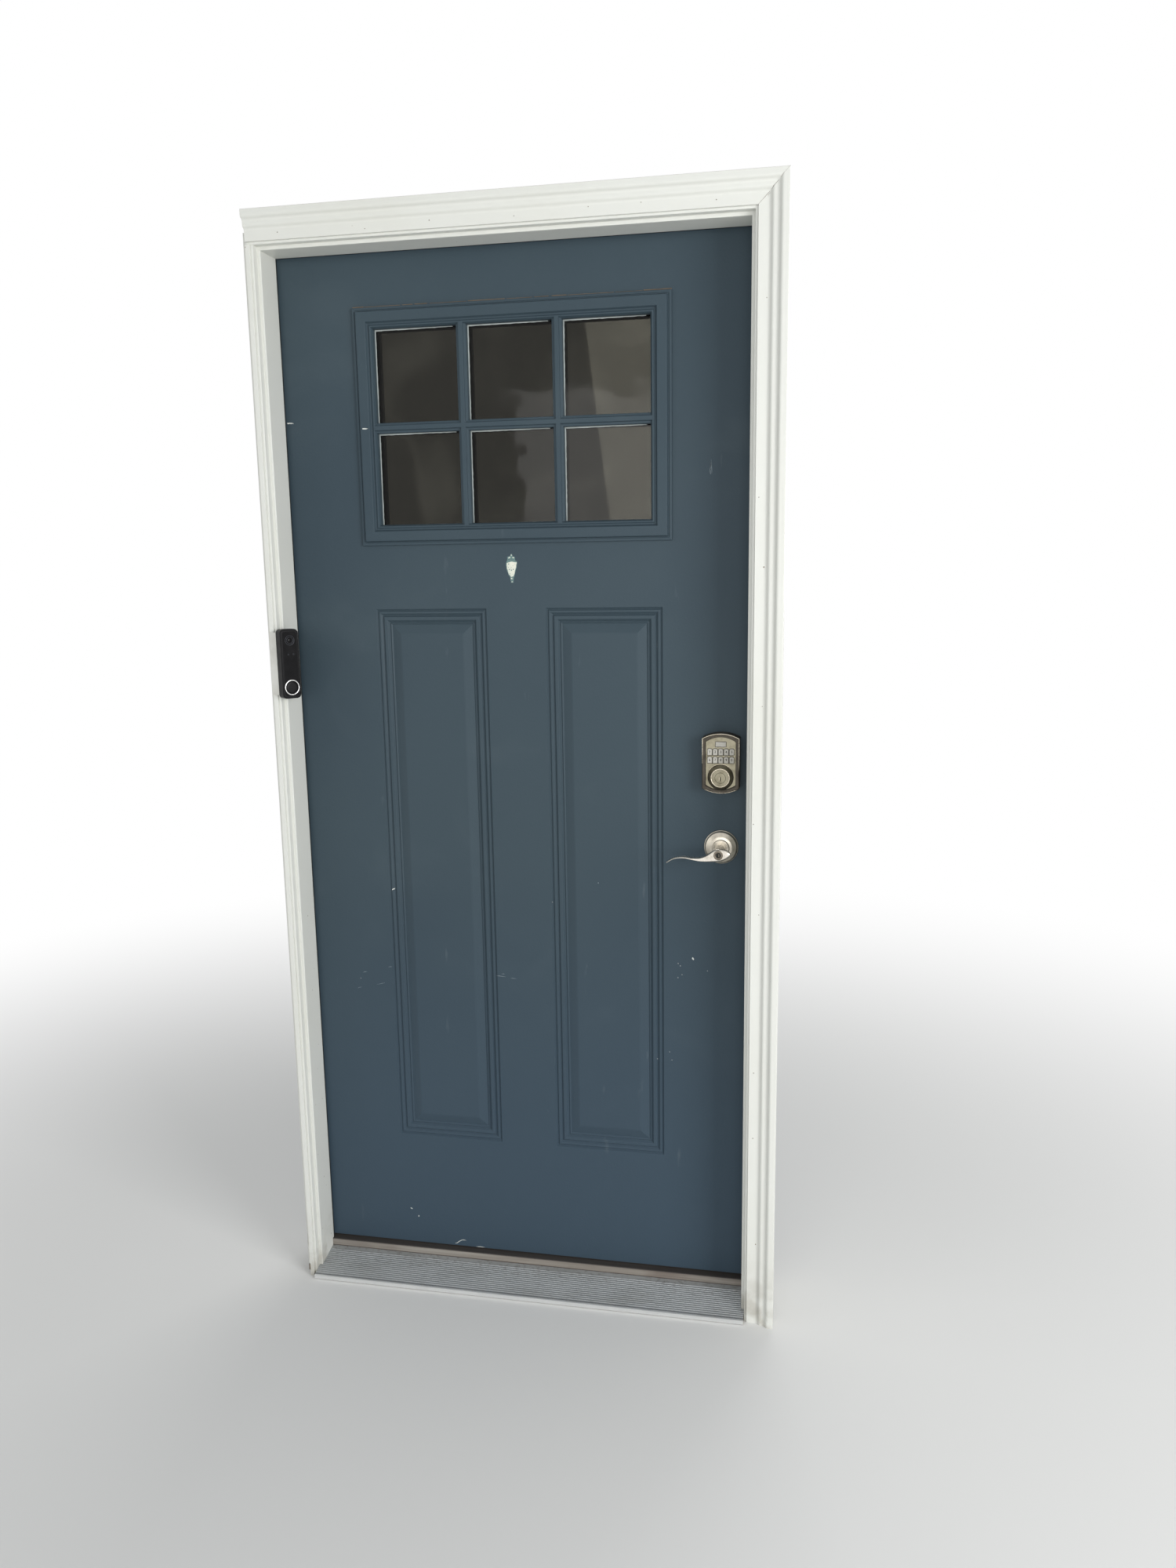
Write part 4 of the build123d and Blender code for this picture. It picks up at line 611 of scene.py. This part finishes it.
# A dark ring round the cylinder's plug: painted shade.
plate("cylinder_line", [circle(10.35), circle(9.66)], GUARD_LIFT, 0.08, PAD, bronze_gap_shade, "door")
plate("cylinder_face_rings", [circle(15.6), circle(15.2), circle(12.9), circle(12.6)], GUARD_LIFT, LINE, PAD,
      plug_metal, "door")
plate("key_slot_glint", [stroke([(-1.5, -6.0), (-1.6, -3.0), (-1.5, 0.0), (-1.3, 2.2)], 0.6)], GLINT_LIFT, LINE,
      PAD, wear_and_highlight, "deadbolt_plug")
plate("key_slot_shade", [strip(-0.9, 0.9, -5.98, 1.98)], PLUG_LIFT, 0.1, PAD, near_black_shade, "deadbolt_plug")

# Levers and roses
for side, direction, surface_y in (("outside", 1, FACE_Y), ("inside", -1, BACK_Y)):
    rose_seat = seat_at((BORE_X, surface_y, LEVER_Z), (direction, 0, 0), (0, 0, 1))
    # A dark ring where the rose meets the door: painted shade.
    lathe(f"rose_line_{side}", [(32.9, 0.02), (32.85, 0.25), (32.55, 0.3), (32.55, 0.02)], (0, 0), rose_seat,
          near_black_shade, "door")
    # A bright ring on the rose's collar: a painted highlight.
    lathe(f"rose_collar_{side}", [(16.4, 11.9), (16.3, 12.6), (15.6, 12.9), (15.55, 11.9)], (0, 0), rose_seat,
          wear_and_highlight, "door")
plug_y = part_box("lever_plug")[0].y / MM
PLUG = seat_at((BORE_X, plug_y, LEVER_Z), (1, 0, 0), (0, 0, 1))
lathe("lever_plug_ring", [(8.6, 0.0), (8.6, 0.12), (8.0, 0.35), (6.0, 0.3), (5.4, 0.1), (5.4, 0.0)], (0, 0), PLUG,
      plug_metal, "lever_plug")
plate("lever_plug_core", [circle(5.2), rounded(1.5, 7.6, 0.3)], 0.0, 0.1, PLUG, near_black_shade, "lever_plug")
plate("lever_slot_glint", [stroke([(1.3, -3.4), (1.2, -1.0), (1.3, 2.8)], 0.45)], 0.1, LINE, PLUG, wear_and_highlight,
      "lever_plug")

# Chips, scratches and residue on the slab
chips = [
    ragged([(-444.6, 1755.3), (-443.9, 1753.1), (-436.0, 1753.2), (-430.8, 1753.6), (-436.0, 1755.1)], 0.22, 1.6),
    ragged([(-276.2, 830.9), (-275.3, 833.2), (-272.2, 834.8), (-269.2, 835.2), (-271.0, 832.8)], 0.2, 1.2),
    stroke([(-170.9, 49.9), (-166.5, 50.8), (-161.1, 55.5), (-154.8, 59.3), (-150.4, 59.7), (-145.6, 58.9)], 1.3),
    stroke([(-123.7, 47.1), (-117.4, 47.3), (-111.9, 47.3), (-104.9, 47.0)], 1.0),
    ragged([(-268.5, 123.5), (-265.8, 124.3), (-263.2, 121.6), (-265.0, 120.5)], 0.2, 1.0),
    ragged([(-250.9, 107.8), (-249.2, 106.9), (-249.3, 104.3), (-251.0, 104.5)], 0.2, 1.0),
    ragged([(337.9, 715.8), (338.6, 719.1), (340.4, 718.5), (342.0, 714.4), (340.5, 713.2)], 0.2, 1.2),
]
for place in ((310.7, 704.6), (315.0, 700.0), (318.4, 682.1), (310.3, 675.4), (368.2, 692.6), (293.6, 518.4),
              (298.0, 501.7), (268.8, 502.3), (-353.7, 637.6), (59.7, 819.1)):
    chips.append(blot(place, 1.3, 1.1))
plate("slab_chips", chips, 0.0, LINE, FRONT, chip_white, "door")
scratches = [
    stroke([(-61.4, 659.0), (-55.2, 659.0), (-48.6, 658.4), (-41.1, 657.9)], 0.8),
    stroke([(-50.1, 663.5), (-46.4, 663.8), (-42.6, 663.5)], 0.6),
    stroke([(-31.3, 655.6), (-25.5, 655.4), (-19.0, 654.8)], 0.6),
    stroke([(-348.9, 650.7), (-343.6, 652.2), (-339.1, 652.9)], 0.8),
    stroke([(-361.8, 615.1), (-358.9, 617.2), (-352.5, 618.6)], 0.7),
    stroke([(-319.7, 625.7), (-310.0, 628.1), (-301.0, 630.8)], 0.6),
    stroke([(-292.3, 665.5), (-288.0, 666.2), (-284.0, 666.4)], 0.7),
    blot((153.1, 862.5), 2.4, 1.6),
]
TUFT_LINES, TUFT_FOOT, TUFT_TIP, TUFT_W = 9, 367.9, 371.2, 5.3
for number in range(TUFT_LINES):
    foot = TUFT_FOOT + TUFT_W * number / (TUFT_LINES - 1)
    top = 1664.0 - 2.4 * abs(number - 5)
    bend = TUFT_TIP - foot
    scratches.append(stroke([(foot, 1636.0 + rng.uniform(0, 2)), (foot + 0.35 * bend, 1646.0),
                             (foot + 0.75 * bend, 1655.0), (TUFT_TIP + 0.12 * (number - 4), top)], 0.42))
plate("slab_scratches", scratches, 0.0, LINE, FRONT, dust_pale, "door")
shield = [(-15.9, 1483.1), (-11.7, 1485.2), (-5.0, 1486.0), (3.7, 1485.0), (2.8, 1476.2), (0.1, 1467.2),
          (-2.6, 1459.0), (-7.4, 1457.9), (-11.7, 1462.3), (-15.1, 1472.7)]
halo = [(-14.2, 1495.2), (-8.4, 1496.2), (-7.9, 1500.0), (-4.6, 1500.2), (-4.0, 1496.2), (0.2, 1495.0),
        (1.2, 1488.2), (4.8, 1486.4), (3.7, 1475.8), (0.9, 1466.4), (-2.0, 1457.4), (-3.4, 1446.9),
        (-8.0, 1446.6), (-9.2, 1457.0), (-12.6, 1461.6), (-16.1, 1472.4), (-16.9, 1483.6), (-14.6, 1488.6)]
RESIDUE_UNEVEN = 0.35
mottle = [ragged(halo, 0.4, 1.8)]
for row in range(3):
    for column in range(7 - row):
        place = (-13.0 + row + 2.1 * column + rng.uniform(-0.4, 0.4), 1488.6 + 2.1 * row)
        mottle.append(blot(place, 1.1, 1.0, RESIDUE_UNEVEN))
for row in range(4):
    for column in range(2):
        place = (-7.4 + 2.6 * column + rng.uniform(-0.3, 0.3), 1449.0 + 2.3 * row)
        mottle.append(blot(place, 1.1, 1.0, RESIDUE_UNEVEN))
RESIDUE_LIFT = 0.05
plate("residue_edge", mottle, 0.0, RESIDUE_LIFT, FRONT, primer_edge, "door")
residue = [ragged(shield, 0.45, 2.0)]
for place, size in (((-11.6, 1481.6), 2.6), ((-12.6, 1475.4), 1.6), ((-10.3, 1471.4), 2.4), ((-6.6, 1470.0), 2.6),
                    ((-2.7, 1471.6), 2.2), ((-6.8, 1474.8), 1.3), ((0.6, 1481.6), 1.2), ((-9.6, 1463.6), 1.5),
                    ((-4.4, 1463.2), 1.0), ((-3.4, 1478.6), 1.0)):
    residue.append(blot(place, size, size * 0.9, RESIDUE_UNEVEN))
residue.append(ragged([(-12.4, 1492.0), (-11.2, 1494.6), (-8.0, 1494.9), (-8.6, 1492.8)], 0.2, 1.4))
residue.append(ragged([(-4.4, 1492.9), (-3.8, 1494.9), (-1.5, 1494.6), (-0.9, 1492.2)], 0.2, 1.4))
residue.append(blot((-6.2, 1498.2), 2.2, 2.2))
residue.append(ragged([(-8.2, 1456.2), (-5.0, 1456.0), (-5.6, 1453.2), (-7.8, 1453.5)], 0.2, 1.4))
residue.append(blot((-5.8, 1448.4), 3.0, 1.5))
plate("residue", residue, RESIDUE_LIFT, LINE, FRONT, residue_green, "door")

# Window: dirt on its upper edge, a chip, and bare vinyl along the reveals, greyed as painted shade
dirt = []
start, top = -LITE_W / 2, LITE_Z + LITE_H / 2
while start < LITE_W / 2 - 20.0:
    length = rng.uniform(18.0, 90.0)
    stop = min(start + length, LITE_W / 2)
    dirt.append(ragged(strip(start, stop, top + 0.1, top + rng.uniform(1.5, 2.6)), 0.22, 4.0))
    start = stop + rng.uniform(1.0, 6.0)
plate("window_dirt", dirt, 0.0, LINE, FRONT, grime, "door")
chip = [(-288.4, 1738.9), (-287.6, 1736.5), (-281.5, 1736.4), (-276.6, 1737.5), (-282.1, 1738.7)]
plate("window_chip", [ragged(chip, 0.2, 1.4)], LITE_RIM, LINE, FRONT, chip_white, "door")
PANE_W, PANE_H, PANE_PITCH, BAR = 162.0, 169.5, 181.0, 9.5
SIDE_BARE, FOOT_GAP, TOP_BARE, END_GAP = 2.3, 0.8, 2.4, 9.0
for column in range(3):
    for row in range(2):
        left = (column - 1) * PANE_PITCH - PANE_W / 2
        low = LITE_Z + BAR if row else LITE_Z - BAR - PANE_H
        high, right = low + PANE_H, left + PANE_W - END_GAP
        bare = [(left - 0.4, low + FOOT_GAP), (left + 1.9, low + FOOT_GAP), (left + SIDE_BARE, high - TOP_BARE),
                (right, high - 1.3), (right, high + 0.3), (left - 0.4, high + 0.3)]
        plate(f"vinyl_in_painted_shade_{column}{row}", [ragged(bare, 0.3, 5.0)], LITE_BED, LINE, FRONT, vinyl, "door")

# Casing: open joint lines, mitre cracks and nail marks
profile = [(4.4, 14.3), (5.0, CASING_FLAT), (12.0, CASING_FLAT), (25.5, CASING_FLAT), (30.0, 25.0), (40.2, 25.0),
           (44.7, 31.75), (57.1, 31.75)]
crack = [(CASING_X + off, CASING_Z + off, height + FACE_Y) for off, height in profile]
wire("mitre_crack_right", crack, 0.28, FRONT, grime, "frame")
tail = [(CASING_X + off_u, CASING_Z + off_v, FACE_Y + CASING_FLAT + 0.1)
        for off_u, off_v in ((25.5, 24.6), (23.5, 20.2), (21.4, 19.0), (20.6, 15.4))]
wire("mitre_crack_tail", tail, 0.3, FRONT, grime, "frame")
JOINT_LIFT, JOINT_OFF, JOINT_FOOT = FACE_Y + 14.5, 4.35, 60.0


def joint_lines(low, high, upright, off):
    """Narrow outlines in a row from low to high, off from the middle, with gaps between them."""
    loops = []
    place = low
    while place < high - 30.0:
        stop = min(place + rng.uniform(120.0, 420.0), high)
        loop = strip(off, off + rng.uniform(0.42, 0.58), place, stop)
        loops.append(ragged(loop if upright else [(v, u) for u, v in loop], 0.08, 30.0))
        place = stop + rng.uniform(4.0, 40.0)
    return loops


plate("joint_line_left", joint_lines(JOINT_FOOT, 520.0, True, -CASING_X - 4.95), JOINT_LIFT, LINE, FRONT,
      seam_grey, "frame")
plate("joint_line_right", joint_lines(JOINT_FOOT, CASING_Z, True, CASING_X + JOINT_OFF), JOINT_LIFT, LINE, FRONT,
      seam_grey, "frame")
plate("joint_line_head", joint_lines(-CASING_X, CASING_X, False, CASING_Z + JOINT_OFF), JOINT_LIFT, LINE, FRONT,
      seam_grey, "frame")
marks = []
for number in range(9):
    marks.append(blot((CASING_X + rng.uniform(8.0, 22.0), 140.0 + 215.0 * number + rng.uniform(-60, 60)),
                      rng.uniform(1.2, 2.6), rng.uniform(1.2, 2.4)))
for number in range(7):
    marks.append(blot((-380.0 + 130.0 * number + rng.uniform(-30, 30), CASING_Z + rng.uniform(8.0, 22.0)),
                      rng.uniform(1.2, 2.4), rng.uniform(1.0, 2.0)))
plate("casing_marks", marks, FACE_Y + CASING_FLAT, LINE, FRONT, grime, "frame")

# Left jamb: stains, closer together toward its foot
STOP_X, STAINS, STAINS_FOOT, STAINS_H, CROWDING = -444.525, 11, 70.0, 800.0, 1.3
JAMB_SIDE = seat_at((STOP_X, 0, 0), (0, 0, 1), (0, -1, 0))
jamb_marks = []
for number in range(STAINS):
    height = STAINS_FOOT + STAINS_H * (number / STAINS) ** CROWDING + rng.uniform(-25, 25)
    jamb_marks.append(blot((height, -rng.uniform(8.0, 56.0)), rng.uniform(1.4, 4.0), rng.uniform(1.0, 2.2)))
plate("jamb_marks", jamb_marks, 0.0, LINE, JAMB_SIDE, seam_grey, "frame")

# Sweep: its black lip under the slab, which also gives the painted shade in the gap there
LIP_LOW, LIP_HIGH, LIP_BACK, LIP_T, LIP_INSET = 43.4, 45.95, -3.6, 2.2, 0.6
plate("sweep_lip_and_shade_line", [strip(-SLAB_X + LIP_INSET, SLAB_X - LIP_INSET, LIP_LOW, LIP_HIGH)], LIP_BACK, LIP_T, FRONT,
      looks["sweep"], "door", edge=0.5)

# Stage, lamps and camera
FLOOR_REACH, FADE_START, FADE_END = 30.0, 0.9, 3.4
AIM_Y = 0.07


def seen_by_eye(tree):
    """1 on rays that come straight from the camera, or by a reflection or through glass."""
    rays = tree.nodes.new("ShaderNodeLightPath")
    seen = rays.outputs["Is Camera Ray"]
    for kind in ("Is Glossy Ray", "Is Transmission Ray"):
        either = tree.nodes.new("ShaderNodeMath")
        either.operation = "MAXIMUM"
        tree.links.new(seen, either.inputs[0])
        tree.links.new(rays.outputs[kind], either.inputs[1])
        seen = either.outputs["Value"]
    return seen


def stage_surface():
    """A pale floor that fades into the white background away from the door."""
    surface = bpy.data.materials.new("stage_floor")
    surface.use_nodes = True
    tree = surface.node_tree
    diffuse = tree.nodes["Principled BSDF"]
    diffuse.inputs["Base Color"].default_value = paint(228, 228, 226)
    diffuse.inputs["Roughness"].default_value = 0.9
    diffuse.inputs["Specular IOR Level"].default_value = 0.1
    glow = tree.nodes.new("ShaderNodeEmission")
    glow.inputs["Strength"].default_value = 1.0
    away = tree.nodes.new("ShaderNodeVectorMath")
    away.operation = "LENGTH"
    tree.links.new(tree.nodes.new("ShaderNodeTexCoord").outputs["Object"], away.inputs[0])
    fade = tree.nodes.new("ShaderNodeMapRange")
    fade.interpolation_type = "SMOOTHSTEP"
    fade.inputs["From Min"].default_value = FADE_START
    fade.inputs["From Max"].default_value = FADE_END
    tree.links.new(away.outputs["Value"], fade.inputs["Value"])
    share = tree.nodes.new("ShaderNodeMath")
    share.operation = "MULTIPLY"
    tree.links.new(fade.outputs["Result"], share.inputs[0])
    tree.links.new(seen_by_eye(tree), share.inputs[1])
    mixed = tree.nodes.new("ShaderNodeMixShader")
    tree.links.new(share.outputs["Value"], mixed.inputs["Fac"])
    tree.links.new(diffuse.outputs["BSDF"], mixed.inputs[1])
    tree.links.new(glow.outputs["Emission"], mixed.inputs[2])
    tree.links.new(mixed.outputs["Shader"], tree.nodes["Material Output"].inputs["Surface"])
    return surface


floor_mesh = bpy.data.meshes.new("stage_floor")
corners = [(-FLOOR_REACH, -FLOOR_REACH, 0), (FLOOR_REACH, -FLOOR_REACH, 0),
           (FLOOR_REACH, FLOOR_REACH, 0), (-FLOOR_REACH, FLOOR_REACH, 0)]
floor_mesh.from_pydata(corners, [], [(0, 1, 2, 3)])
floor_mesh.materials.append(stage_surface())
floor = bpy.data.objects.new("stage_floor", floor_mesh)
bpy.context.scene.collection.objects.link(floor)

world = bpy.data.worlds.new("studio")
bpy.context.scene.world = world
world.use_nodes = True
sky = world.node_tree
background = sky.nodes["Background"]
background.inputs["Color"].default_value = (0.96, 0.98, 1.0, 1.0)
background.inputs["Strength"].default_value = 0.45
white = sky.nodes.new("ShaderNodeBackground")
white.inputs["Color"].default_value = (1.0, 1.0, 1.0, 1.0)
blend = sky.nodes.new("ShaderNodeMixShader")
sky.links.new(seen_by_eye(sky), blend.inputs["Fac"])
sky.links.new(background.outputs["Background"], blend.inputs[1])
sky.links.new(white.outputs["Background"], blend.inputs[2])
sky.links.new(blend.outputs["Shader"], sky.nodes["World Output"].inputs["Surface"])


def lamp(name, place, aim_z, size, power):
    """A lamp turned to the door's middle at a height, and not seen itself."""
    light = bpy.data.lights.new(name, "AREA")
    light.shape = "RECTANGLE"
    light.size, light.size_y = size
    light.energy = power
    lit = bpy.data.objects.new(name, light)
    lit.location = place
    lit.rotation_euler = (Vector((0.0, AIM_Y, aim_z)) - Vector(place)).to_track_quat("-Z", "Y").to_euler()
    lit.visible_camera = False
    bpy.context.scene.collection.objects.link(lit)


lamp("lamp_front", (0.4, -4.2, 1.5), 0.8, (3.0, 1.8), 40.0)
lamp("lamp_right", (3.4, -2.5, 1.7), 0.7, (1.8, 1.8), 106.0)
lamp("lamp_left", (-3.4, -2.5, 1.7), 0.7, (2.2, 2.2), 14.0)
lamp("lamp_back", (0.8, 4.2, 2.4), 1.0, (3.0, 2.4), 60.0)

VIEWPOINT = (0.5693, -2.1136, 1.4758)
HEADING, TILT, LEAN = 11.233, -10.568, -0.863
FOCAL_LENGTH, SENSOR_W = 26.82, 36.0
camera_data = bpy.data.cameras.new("camera")
camera_data.sensor_fit = "AUTO"
camera_data.sensor_width = SENSOR_W
camera_data.lens = FOCAL_LENGTH
camera_data.clip_start = 0.05
camera = bpy.data.objects.new("camera", camera_data)
turn = Matrix.Rotation(math.radians(HEADING), 4, "Z")
nod = Matrix.Rotation(math.radians(90.0 + TILT), 4, "X")
lean = Matrix.Rotation(math.radians(LEAN), 4, "Z")
camera.matrix_world = Matrix.Translation(VIEWPOINT) @ turn @ nod @ lean
bpy.context.scene.collection.objects.link(camera)
bpy.context.scene.camera = camera
bpy.context.scene.view_settings.view_transform = "Standard"
